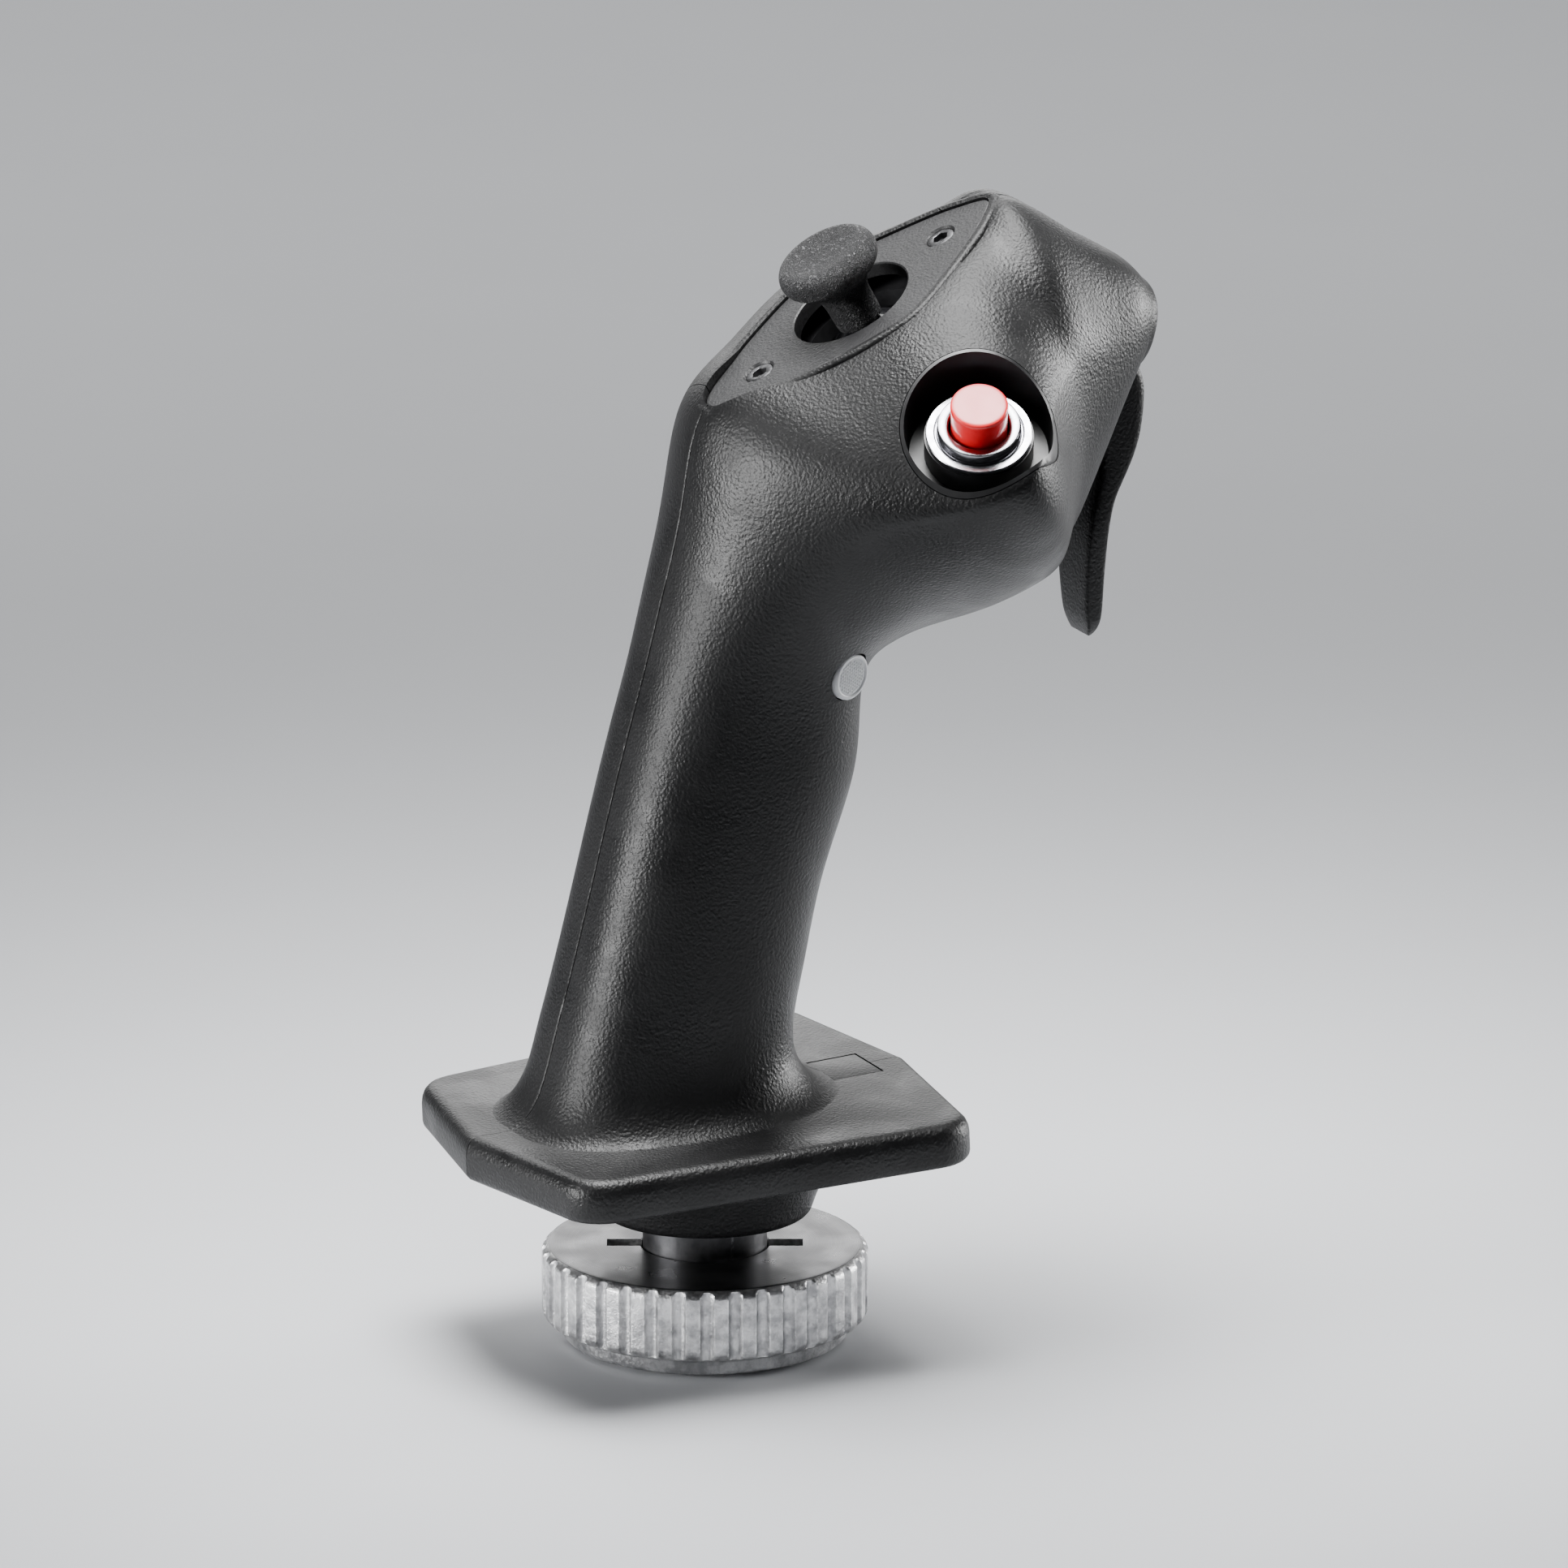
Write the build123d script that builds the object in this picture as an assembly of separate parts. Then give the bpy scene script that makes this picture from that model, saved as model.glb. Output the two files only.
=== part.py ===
from build123d import *
import os
from math import sin, cos, radians, pi, hypot

# Flight-stick grip, millimetres. +X is the pilot's right, +Y is forward, +Z is up.
# The origin is on the axis of the ring nut, at the nut's lower rim.
# The grip body is two shells that meet at X = 0.

os.makedirs("parts", exist_ok=True)

# ---- Driving dimensions -------------------------------------------------
WALL = 2.4                # shell wall
SEAM = 0.05               # gap on each side of the shell seam
GAP = 0.1                 # assembly gap between pieces that stay still
FIT = 0.05                # close radial fit of a pin or screw in its hole
RUN = 0.3                 # air between curved faces that move past each other

# Stations up the grip: back point (Y, Z), front point (Y, Z), half width,
# share of the depth at the widest line, flat half width, fullness behind
# and in front of the widest line.
STATIONS = [
    ((-31.0, 33.4), (20.0, 35.4), 20.4, 0.50, 2.0, 2.3, 2.3),
    ((-28.9, 34.6), (17.4, 36.3), 18.6, 0.50, 2.0, 2.3, 2.3),
    ((-26.9, 36.6), (14.8, 37.7), 16.9, 0.50, 2.0, 2.4, 2.4),
    ((-25.2, 40.0), (12.8, 40.0), 15.6, 0.50, 2.0, 2.4, 2.4),
    ((-23.6, 45.5), (11.7, 43.6), 14.9, 0.50, 2.0, 2.4, 2.4),
    ((-21.6, 52.5), (12.0, 48.5), 14.7, 0.50, 2.0, 2.4, 2.4),
    ((-19.3, 61.0), (13.4, 55.0), 14.6, 0.50, 2.0, 2.4, 2.4),
    ((-15.7, 75.0), (16.3, 67.5), 14.6, 0.50, 2.0, 2.4, 2.4),
    ((-11.9, 89.0), (21.0, 81.5), 14.8, 0.50, 2.0, 2.4, 2.4),
    ((-8.9, 99.5), (21.9, 89.5), 15.3, 0.49, 1.8, 2.3, 2.3),
    ((-6.4, 109.0), (23.0, 96.2), 17.0, 0.46, 1.6, 2.1, 2.1),
    ((-3.6, 120.5), (26.9, 98.9), 20.5, 0.42, 1.4, 1.8, 1.9),
    ((-0.3, 134.35), (32.4, 100.2), 26.6, 0.39, 2.0, 1.5, 1.75),
    ((11.4, 141.08), (39.1, 102.4), 36.6, 0.37, 10.6, 1.3, 1.74),
    ((22.7, 147.58), (45.3, 105.0), 40.6, 0.37, 14.9, 1.28, 1.72),
    ((34.0, 154.07), (49.9, 106.4), 30.3, 0.34, 10.8, 1.4, 1.88),
    ((41.5, 158.39), (52.2, 109.0), 23.3, 0.365, 5.6, 1.5, 1.93),
    ((45.3, 160.5), (53.3, 110.4), 21.0, 0.38, 3.0, 1.6, 2.0),
    ((56.0, 154.6), (56.6, 119.2), 16.4, 0.42, 2.5, 1.9, 2.2),
    ((63.2, 150.2), (59.4, 127.0), 13.1, 0.45, 2.5, 2.2, 2.3),
    ((67.3, 145.4), (63.8, 135.9), 9.5, 0.5, 2.0, 2.2, 2.2),
]
QUARTER_POINTS = 6        # points on each quarter of a station outline

# Control plate on top of the head. Its lower tip starts the plate's own frame.
PLATE_TIP = (0, 1.0, 135.1)
PLATE_ANGLE = 29.9        # slope of the plate, rising forward
PLATE_OUTLINE = [(0.0, 0.0), (0.5, 2.2), (3.0, 4.5), (7.6, 6.9), (12.0, 9.2), (20.0, 12.3),
                 (26.0, 13.6), (30.0, 13.0), (36.0, 10.2), (43.7, 5.9), (47.4, 3.0),
                 (49.2, 1.2), (49.6, 0.0)]
PLATE_THICK = 2.0
PLATE_SCREWS = (8.6, 41.0)    # along the plate from its lower tip
LEDGE = 2.5               # shelf that the plate rests on
PAD_DEPTH = 4.8           # depth of the thick zone round the plate
LIP_WIDTH = 1.5
LIP_RISE = 0.45
COVER_SPAN = (2.1, 44.5)  # left head cover, along the plate
COVER_DEPTH = 23.0
COVER_START = 0.9         # the cover starts this far outside the plate's outline

# Thumbstick, along the plate's normal from the plate's top face
STICK_AT = 25.05
WELL_R = 8.75
STICK_PIVOT = -11.0
STICK_R = 3.4
STICK_CAP_R = 7.5
STICK_CAP_LOW = 5.2
STICK_CAP_HIGH = 9.2
GIMBAL_R = 8.3
GIMBAL_HOLE_R = 6.2
GIMBAL_HIGH = 3.0
STICK_HUB_R = 4.6
STICK_PIN_R = 0.9
BASE_R = 11.2
BASE_BORE_R = 9.3
BRACKET_THICK = 2.5
DOME_R = 7.9

# Red push button in its cup on the right shoulder
BUTTON_AT = (31.8, 26.9, 138.2)
BUTTON_AXIS = (0.498, -0.243, 0.832)
CUP_R = 10.95
CUP_WALL = 1.0
CUP_DEPTH = 8.0
CARRIER_R = 7.6
COLLAR_AT = -3.4          # underside of the collar, from the rim of the cup
COLLAR_FLANGE = 0.8
COLLAR_RING_R = 5.85
COLLAR_RING_HIGH = 1.5
RED_R = 4.05
RED_TOP = 3.1
RED_TRAVEL = 1.5
PLUNGER_R = 2.0
RED_SWITCH = 6.2
SPRING_WIRE_R = 0.22

# Pale button on the right front of the handle
PALE_AT = (13.9, 15.7, 97.9)
PALE_AXIS = (0.925, 0.36, -0.10)
PALE_R = 3.4
PALE_PROUD = 0.75
PALE_TRAVEL = 0.8
PALE_SOCKET_R = 5.5

# Trigger
TRIGGER_PIVOT = (58.7, 139.5)
TRIGGER_HALF = 5.5
TRIGGER_TIP_HALF = 3.9
TRIGGER_TRAVEL = 8.0      # degrees
TRIGGER_FRONT = [(64.4, 136.2), (66.6, 130.5), (65.4, 123.0), (61.9, 115.5), (60.8, 108.5),
                 (60.5, 101.0), (60.0, 97.0)]
TRIGGER_BACK = [(58.6, 95.3), (57.6, 99.8), (57.4, 106.3), (58.1, 113.5), (59.6, 119.5),
                (59.0, 126.0), (57.2, 134.0)]
TRIGGER_HUB_R = 3.2
TRIGGER_HUB_HALF = 3.0
PIN_R = 1.5
SLOT_HALF = 6.3
SLOT_BACK = 51.2
SLOT_TOP = 138.9

# Hand rest (flange) at the foot of the grip
REST_BACK = (-36.9, 27.4)     # lower back edge (Y, Z)
REST_TILT = 2.4               # degrees, rising forward
REST_THICK = 6.2
REST_HALF = [(0.0, 0.0), (28.3, 5.2), (32.0, 64.5), (0.0, 69.0)]
REST_CORNER_R = 6.5
REST_TOP_EDGE = 2.0
REST_LOW_EDGE = 1.0
HATCH_HALF = 4.4
HATCH_SPAN = (18.4, 26.0)
HATCH_THICK = 1.4

# Foot boss, neck and ring nut
BOSS_LOW = 18.4
BOSS_LOW_R = 15.0
BOSS_HIGH_R = 18.2
BOSS_FLANGE_R = 20.6
BOSS_FLANGE_THICK = 2.4
NECK_R = 8.75
NECK_BORE_R = 6.5
LOCK_R = 12.2
FOOT_R = 16.2
FOOT_THICK = 3.0
NUT_R = 23.0
NUT_TOP = 13.2
NUT_WEB = 3.2
NUT_HOLE_R = NECK_R + RUN
NUT_SLOT = 3.2
NUT_SLOT_R = 13.8
NUT_CHAMFER = 1.1
NUT_BAND_LOW = 3.2
NUT_SKIRT_R = 20.2
THREAD_R = 17.5
THREAD_LONG = 4.2
RELIEF_R = 18.2
GROOVES = 36
GROOVE_R = 1.0
NUT_KEY_TURN = 64.0           # rest direction of the nut's slots, degrees from +X
KEY_PIN_R = 1.25              # locating pin in the neck's foot
KEY_PIN_AT = (0, -12.4)
KEY_PIN_LOW = 4.5
PLUG_R = NECK_BORE_R - FIT
PLUG_PINS = 5
PLUG_PIN_R = 0.5
PLUG_PIN_RING = 3.4
PLUG_PIN_LOW = 4.6

# Screws that join the two shells, (Y, Z), driven in from the left
SHELL_SCREWS = [(-5.0, 56.0), (5.0, 92.0), (26.0, 112.0), (59.3, 148.2)]
SCREW_R = 1.5
SCREW_HEAD_R = 2.8
SCREW_HEAD = 2.2
SCREW_BOSS_R = 3.6
SCREW_REACH = 8.5
BOARD_AT = (-1.6, 74.0)
BOARD_SIZE = (17.0, 20.0)
BOARD_THICK = 1.6
BOARD_LEAN = 14.0

plate_plane = Plane(origin=PLATE_TIP, x_dir=(0, cos(radians(PLATE_ANGLE)), sin(radians(PLATE_ANGLE))),
                    z_dir=(0, -sin(radians(PLATE_ANGLE)), cos(radians(PLATE_ANGLE))))
button_plane = Plane(origin=BUTTON_AT, z_dir=BUTTON_AXIS)
pale_plane = Plane(origin=PALE_AT, z_dir=PALE_AXIS)
rest_plane = Plane(origin=(0, REST_BACK[0], REST_BACK[1]), x_dir=(1, 0, 0),
                   z_dir=(0, -sin(radians(REST_TILT)), cos(radians(REST_TILT))))


def save(name, *solids):
    """Write one node: a solid, or a group of separate solids."""
    loose = []
    for item in solids:
        loose += list(item.solids())
    export_step(loose[0] if len(loose) == 1 else Compound(children=loose), f"parts/{name}.step")


def rod(plane, radius, low, high, at=(0, 0)):
    """A cylinder along a plane's normal, from height low to height high."""
    return plane * Pos(at[0], at[1], (low + high) / 2) * Cylinder(radius, high - low)


def tube(plane, radius, bore, low, high, at=(0, 0)):
    return rod(plane, radius, low, high, at) - rod(plane, bore, low - 1, high + 1, at)


def cross_rod(y, z, radius, x_from, x_to):
    """A cylinder along X."""
    return Pos((x_from + x_to) / 2, y, z) * Rot(0, 90, 0) * Cylinder(radius, x_to - x_from)


def block(x, y, z):
    """A box given by its (from, to) pairs."""
    return Pos((x[0] + x[1]) / 2, (y[0] + y[1]) / 2, (z[0] + z[1]) / 2) * Box(
        x[1] - x[0], y[1] - y[0], z[1] - z[0])


def half_station(station, inset=0.0):
    """The right half of one station's outline, closed along X = 0."""
    (back_y, back_z), (front_y, front_z), half, share, flat, full_back, full_front = station
    depth = hypot(front_y - back_y, front_z - back_z)
    step_y = (front_y - back_y) / depth
    step_z = (front_z - back_z) / depth
    widest = share * depth
    half -= inset
    flat = min(flat, half * 0.6)
    outline = []
    for i in range(QUARTER_POINTS + 1):
        angle = pi / 2 * i / QUARTER_POINTS
        outline.append((flat + (half - flat) * sin(angle) ** (2 / full_back),
                        inset + (widest - inset) * (1 - cos(angle) ** (2 / full_back))))
    for i in range(1, QUARTER_POINTS):
        angle = pi / 2 * i / QUARTER_POINTS
        outline.append((half * cos(angle) ** (2 / full_front),
                        widest + (depth - inset - widest) * sin(angle) ** (2 / full_front)))
    outline.append((0.0, depth - inset))
    side = [Vector(x, back_y + step_y * q, back_z + step_z * q) for x, q in outline]
    start = Vector(0, back_y + step_y * inset, back_z + step_z * inset)
    return Wire([Line(start, side[0]), Spline(side, tangents=[(1, 0, 0), (-1, 0, 0)]), Line(side[-1], start)])


def rest_solid():
    """The hand rest, whole, standing on its own sloping plane."""
    points = [(x, y) for x, y in REST_HALF] + [(-x, y) for x, y in reversed(REST_HALF[1:-1])]
    face = make_face(Polyline(*points, close=True))
    corners = [v for v in face.vertices() if abs(v.X) > 1]
    face = fillet(corners, REST_CORNER_R)
    return rest_plane * extrude(face, REST_THICK)


def almond_outline(grow):
    """Half of the control plate's outline, moved outwards by grow (inwards if negative)."""
    last = len(PLATE_OUTLINE) - 1
    moved = [(PLATE_OUTLINE[0][0] - grow, 0.0)]
    for i in range(1, last):
        along = PLATE_OUTLINE[i + 1][0] - PLATE_OUTLINE[i - 1][0]
        aside = PLATE_OUTLINE[i + 1][1] - PLATE_OUTLINE[i - 1][1]
        length = hypot(along, aside)
        place = PLATE_OUTLINE[i][0] - aside / length * grow
        half = PLATE_OUTLINE[i][1] + along / length * grow
        if half > 1.0 and place > moved[-1][0] + 0.3:
            moved.append((place, half))
    tip = PLATE_OUTLINE[last][0] + grow
    if grow < -1:
        tip = moved[-1][0] + moved[-1][1]
        moved[0] = (moved[1][0] - moved[1][1] * 0.6, 0.0)
    return moved + [(tip, 0.0)]


def almond(grow, low, high):
    """The control plate's outline, grown by some amount, between two heights."""
    half = almond_outline(grow)
    points = half + [(s, -t) for s, t in reversed(half[1:-1])]
    face = make_face(Spline(*points, periodic=True))
    return plate_plane * (Pos(0, 0, low) * extrude(face, high - low))


def grip_halves():
    """Outer and inner bodies of the right half of the grip."""
    outer = Solid.make_loft([half_station(s) for s in STATIONS])
    inner = Solid.make_loft([half_station(s, WALL) for s in STATIONS[1:-1]])
    rest = rest_solid()
    top_edges = rest.faces().sort_by(Axis.Z)[-1].edges()
    rest = fillet(top_edges, REST_TOP_EDGE)
    low_edges = rest.faces().sort_by(Axis.Z)[0].edges()
    rest = chamfer(low_edges, REST_LOW_EDGE)
    right_side = block((0, 80), (-90, 120), (-10, 220))
    outer = outer + (rest & right_side)
    return outer, inner


outer, inner = grip_halves()


def nose_ribs():
    """Cheeks inside the nose that carry the trigger's pin and switch."""
    cheek = block((SLOT_HALF + 0.3, SLOT_HALF + 2.3), (46.5, 62.0), (134.0, 160.0))
    return cheek & inner


def shell_blank():
    """The right shell before the openings that only one side has."""
    shell = outer - inner
    shell = shell + (almond(LIP_WIDTH, -PAD_DEPTH, LIP_RISE) & block((0, 80), (-90, 120), (-10, 220)))
    shell = shell + nose_ribs()
    for y, z in SHELL_SCREWS:
        shell = shell + (cross_rod(y, z, SCREW_BOSS_R, 0, 40) & outer)
    shell = shell + (cross_rod(BOARD_AT[0], BOARD_AT[1], 2.0, BOARD_THICK / 2 + GAP, 30) & outer)
    shell = shell - almond(GAP, -PLATE_THICK - GAP, 5)
    shell = shell - almond(-LEDGE, -PAD_DEPTH - 1, 5)
    shell = shell - block((-1, SLOT_HALF), (SLOT_BACK, 80), (90, SLOT_TOP))
    shell = shell - cross_rod(TRIGGER_PIVOT[0], TRIGGER_PIVOT[1], PIN_R + FIT, -1, 9)
    shell = shell - cross_rod(TRIGGER_PIVOT[0], TRIGGER_PIVOT[1], TRIGGER_HUB_R + RUN, -1, SLOT_HALF)
    shell = shell - rod(Plane.XY, BOSS_HIGH_R + GAP, 10, rest_floor(0) + WALL + 1)
    shell = shell - rod(Plane.XY, BOSS_FLANGE_R + GAP, rest_floor(0) + WALL - GAP, rest_floor(0) + WALL + 3)
    shell = shell - rod(Plane.XY, LOCK_R + RUN, rest_floor(0), rest_floor(0) + WALL + BOSS_FLANGE_THICK + 6)
    hatch_low = REST_THICK - HATCH_THICK - GAP
    shell = shell - rest_plane * block((-1, HATCH_HALF + GAP), hatch_y(GAP), (hatch_low, REST_THICK + 3))
    shell = shell - block((-1, SEAM), (-90, 120), (-10, 220))
    return shell


def rest_floor(y):
    """Height of the hand rest's underside at a place along Y."""
    return REST_BACK[1] + (y - REST_BACK[0]) * sin(radians(REST_TILT))


def hatch_y(extra):
    start = HATCH_SPAN[0] - REST_BACK[0]
    end = HATCH_SPAN[1] - REST_BACK[0]
    return (start - extra, end + extra)


blank = shell_blank()

# ---- Right shell ---------------------------------------------------------
right = blank - rod(button_plane, CUP_R + GAP, -CUP_DEPTH - GAP, 12)
right = right - rod(pale_plane, PALE_R + 0.25, -2.5 * WALL, 6)
for y, z in SHELL_SCREWS:
    right = right - cross_rod(y, z, SCREW_R + FIT, -1, SCREW_REACH + 1)
save("right_grip_shell", max(right.solids(), key=lambda s: s.volume))

# ---- Left shell and its head cover ---------------------------------------
left = mirror(blank, Plane.YZ)
for y, z in SHELL_SCREWS:
    left = left - cross_rod(y, z, SCREW_R + FIT, -60, 1)
    left = left - cross_rod(y, z, SCREW_HEAD_R + GAP, -60, -SCREW_REACH)


def cover_zone(extra):
    """Space of the left head cover, in the plate's frame."""
    return plate_plane * block((COVER_SPAN[0] - extra, COVER_SPAN[1] + extra), (0.4 - extra, 60),
                               (-COVER_DEPTH - extra, 8))


ledge = almond(COVER_START, -PAD_DEPTH - 1, -PLATE_THICK - GAP)
cover = (left & cover_zone(0)) - ledge - almond(GAP, -PAD_DEPTH - 1, 5)
left = left - (cover_zone(GAP) - almond(COVER_START - GAP, -PAD_DEPTH - 2, -PLATE_THICK - GAP))
save("left_head_cover", max(cover.solids(), key=lambda s: s.volume))
save("left_grip_shell", max(left.solids(), key=lambda s: s.volume))

# ---- Control plate, its bracket and screws -------------------------------
plate = almond(0, -PLATE_THICK, 0)
plate = plate - rod(plate_plane, WELL_R, -10, 5, (STICK_AT, 0))
bracket = almond(-LEDGE * 0.4, -PAD_DEPTH - GAP - BRACKET_THICK, -PAD_DEPTH - GAP)
bracket = bracket - rod(plate_plane, WELL_R + 0.4, -15, 5, (STICK_AT, 0))
plate_screws = []
for s in PLATE_SCREWS:
    plate = plate - rod(plate_plane, SCREW_R + FIT, -5, 1, (s, 0))
    plate = plate - rod(plate_plane, 2.1 + FIT, -1.2, 1, (s, 0))
    bracket = bracket - rod(plate_plane, SCREW_R + FIT, -15, 1, (s, 0))
    screw = rod(plate_plane, 2.1, -1.2, -0.1, (s, 0)) + rod(plate_plane, SCREW_R, -8.6, -1.0, (s, 0))
    socket = plate_plane * Pos(s, 0, -1.0) * extrude(RegularPolygon(1.15, 6), 2)
    plate_screws.append(screw - socket)
save("top_plate", plate)
save("plate_screws", *plate_screws)
save("stick_bracket", bracket)

# ---- Thumbstick ----------------------------------------------------------
stick_plane = Plane(origin=plate_plane.from_local_coords(Vector(STICK_AT, 0, 0)),
                    x_dir=plate_plane.x_dir, z_dir=plate_plane.z_dir)
base_top = -PAD_DEPTH - GAP - BRACKET_THICK - GAP
base_low = STICK_PIVOT - 5.5
base = rod(stick_plane, BASE_R, base_low, base_top) - rod(stick_plane, BASE_BORE_R, base_low + 1.5, 0)
pivot_plane = stick_plane.offset(STICK_PIVOT)
along = Plane(origin=pivot_plane.origin, z_dir=pivot_plane.x_dir)
across = Plane(origin=pivot_plane.origin, z_dir=pivot_plane.y_dir)
base = base - rod(across, STICK_PIN_R + FIT, -20, 20)
save("stick_base", base)
gimbal = tube(pivot_plane, GIMBAL_R, GIMBAL_HOLE_R, -GIMBAL_HIGH / 2, GIMBAL_HIGH / 2)
gimbal = gimbal + rod(across, STICK_PIN_R, GIMBAL_R - 1, BASE_R - 0.2)
gimbal = gimbal + rod(across, STICK_PIN_R, -BASE_R + 0.2, -GIMBAL_R + 1)
gimbal = gimbal - rod(along, STICK_PIN_R + FIT, -20, 20)
save("stick_gimbal", gimbal)
lever = rod(pivot_plane, STICK_HUB_R, -2, 2) + rod(along, STICK_PIN_R, -GIMBAL_R + 0.2, GIMBAL_R - 0.2)
lever = lever + rod(stick_plane, 2.4, STICK_PIVOT, STICK_CAP_LOW + 1.6)
lever = lever + rod(stick_plane, 1.4, STICK_PIVOT - 3.4, STICK_PIVOT)
save("stick_lever", lever)
dome = pivot_plane * (Sphere(DOME_R) - Sphere(DOME_R - 1.0))
dome = dome & rod(pivot_plane, 6.6, 4.2, 12)
dome = dome - rod(pivot_plane, 2.4 + FIT, 0, 20)
save("stick_dome", dome)
cap_side = [(2.4 + FIT, 0.6 - 3.6), (STICK_R, 0.6 - 3.6), (STICK_R, 1.0), (4.6, STICK_CAP_LOW - 1.4),
            (6.2, STICK_CAP_LOW)]
with BuildPart() as cap_build:
    with BuildSketch(Plane.XZ):
        with BuildLine():
            Polyline(*cap_side)
            edge = Spline((6.2, STICK_CAP_LOW), (STICK_CAP_R, STICK_CAP_LOW + 1.7), (6.5, STICK_CAP_HIGH))
            dish = Spline((6.5, STICK_CAP_HIGH), (3.2, STICK_CAP_HIGH - 0.7), (0, STICK_CAP_HIGH - 0.9),
                          tangents=[(-1, -0.1), (-1, 0)])
            Polyline((0, STICK_CAP_HIGH - 0.9), (0, STICK_CAP_LOW + 1.7), (2.4 + FIT, STICK_CAP_LOW + 1.7),
                     cap_side[0])
        make_face()
    revolve(axis=Axis.Z)
save("stick_cap", stick_plane * cap_build.part)

# ---- Red button ----------------------------------------------------------
cup_floor = -CUP_DEPTH
cup = rod(button_plane, CUP_R, cup_floor, 12) - rod(button_plane, CUP_R - CUP_WALL, cup_floor + 1, 13)
cup = cup & outer
cup = max(cup.solids(), key=lambda s: s.volume)
switch_low = cup_floor - 5.4
cup = cup + tube(button_plane, 6.0, RED_SWITCH * 0.74, switch_low, cup_floor)
cup = cup - rod(button_plane, PLUNGER_R + RUN, cup_floor - 1, cup_floor + 2)
save("red_button_cup", cup)
carrier_low = cup_floor + 1 + FIT
collar_top = COLLAR_AT + COLLAR_FLANGE + COLLAR_RING_HIGH
carrier = tube(button_plane, CARRIER_R, 4.6, carrier_low, COLLAR_AT - FIT)
save("red_button_carrier", carrier)
collar = rod(button_plane, 7.4, COLLAR_AT, COLLAR_AT + COLLAR_FLANGE)
collar = collar + rod(button_plane, COLLAR_RING_R, COLLAR_AT, collar_top)
collar = collar - rod(button_plane, RED_R + 0.25, COLLAR_AT - 1, 5)
save("red_button_collar", collar)
red_low = COLLAR_AT - 0.3
red = rod(button_plane, RED_R - 0.1, red_low, RED_TOP - 1.6) + rod(button_plane, RED_R, RED_TOP - 1.7, RED_TOP)
red = fillet(red.faces().sort_by(Axis(BUTTON_AT, BUTTON_AXIS))[-1].edges(), 0.35)
red = red + rod(button_plane, PLUNGER_R, cup_floor + 0.2, red_low + 0.5)
save("red_button_cap", red)
spring_turns = 2
spring_low = carrier_low + RED_TRAVEL + SPRING_WIRE_R + GAP
spring_high = red_low - 0.3
coil = Helix((spring_high - spring_low) / spring_turns, spring_high - spring_low, 3.2)
wire_plane = Plane(origin=coil @ 0, z_dir=coil % 0)
spring = sweep(wire_plane * Circle(SPRING_WIRE_R), path=coil, is_frenet=True)
save("red_button_spring", button_plane * Pos(0, 0, spring_low) * spring)
red_switch = button_plane * block((-3.1, 3.1), (-3.1, 3.1), (switch_low, cup_floor - RED_TRAVEL))
save("red_button_switch", red_switch)

# ---- Pale button on the handle -------------------------------------------
pale_low = -WALL - 0.7 * PALE_R
pale = rod(pale_plane, PALE_R, pale_low, PALE_PROUD - 0.35) + rod(pale_plane, PALE_R - 0.5, 0, PALE_PROUD)
pale = pale + rod(pale_plane, PALE_R + 0.7, pale_low, pale_low + 0.9)
save("pale_button", pale)
socket_low = pale_low - 4.6
socket = rod(pale_plane, PALE_SOCKET_R, socket_low, 0) - rod(pale_plane, PALE_R + 1.0, socket_low + 1.2, 1)
socket = socket & inner
save("pale_button_socket", max(socket.solids(), key=lambda s: s.volume))
save("pale_button_switch", rod(pale_plane, 3.0, socket_low + 1.2, pale_low - PALE_TRAVEL - 0.2))

# ---- Trigger -------------------------------------------------------------
with BuildPart() as blade_build:
    with BuildSketch(Plane.YZ):
        with BuildLine():
            Spline(*TRIGGER_FRONT)
            Polyline(TRIGGER_FRONT[-1], TRIGGER_BACK[0])
            Spline(*TRIGGER_BACK)
            Polyline(TRIGGER_BACK[-1], TRIGGER_FRONT[0])
        make_face()
    extrude(amount=TRIGGER_HALF, both=True)
taper = Polygon((-TRIGGER_HALF, 140), (-TRIGGER_HALF, 110), (-TRIGGER_TIP_HALF, 94), (TRIGGER_TIP_HALF, 94),
                (TRIGGER_HALF, 110), (TRIGGER_HALF, 140), align=None)
blade = blade_build.part & (Pos(0, 90, 0) * (Plane.XZ * extrude(taper, 60)))
blade = blade + cross_rod(TRIGGER_PIVOT[0], TRIGGER_PIVOT[1], TRIGGER_HUB_R, -TRIGGER_HUB_HALF, TRIGGER_HUB_HALF)
blade = blade + block((-TRIGGER_HUB_HALF, TRIGGER_HUB_HALF), (53.5, 59.5), (136.4, 138.2))
blade = blade + block((-TRIGGER_HUB_HALF, TRIGGER_HUB_HALF), (57.4, 62.6), (133.5, 138.6))
blade = blade - cross_rod(TRIGGER_PIVOT[0], TRIGGER_PIVOT[1], PIN_R + FIT, -10, 10)
save("trigger", blade)
save("trigger_pin", cross_rod(TRIGGER_PIVOT[0], TRIGGER_PIVOT[1], PIN_R, -SLOT_HALF - 2.1, SLOT_HALF + 2.1))
torsion = Helix(0.62, 2.2, 2.1)
torsion_wire = sweep(Plane(origin=torsion @ 0, z_dir=torsion % 0) * Circle(0.25), path=torsion, is_frenet=True)
save("trigger_spring", Pos(3.6, TRIGGER_PIVOT[0], TRIGGER_PIVOT[1]) * Rot(0, 90, 0) * torsion_wire)
switch_front = TRIGGER_PIVOT[0] - TRIGGER_HUB_R - RUN
save("trigger_switch", block((-SLOT_HALF, SLOT_HALF), (switch_front - 7.6, switch_front), (139.9, 145.9)))

# ---- Hatch in the front of the hand rest ---------------------------------
hatch = rest_plane * block((-HATCH_HALF, HATCH_HALF), hatch_y(0), (REST_THICK - HATCH_THICK, REST_THICK))
save("rest_hatch", hatch)

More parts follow.
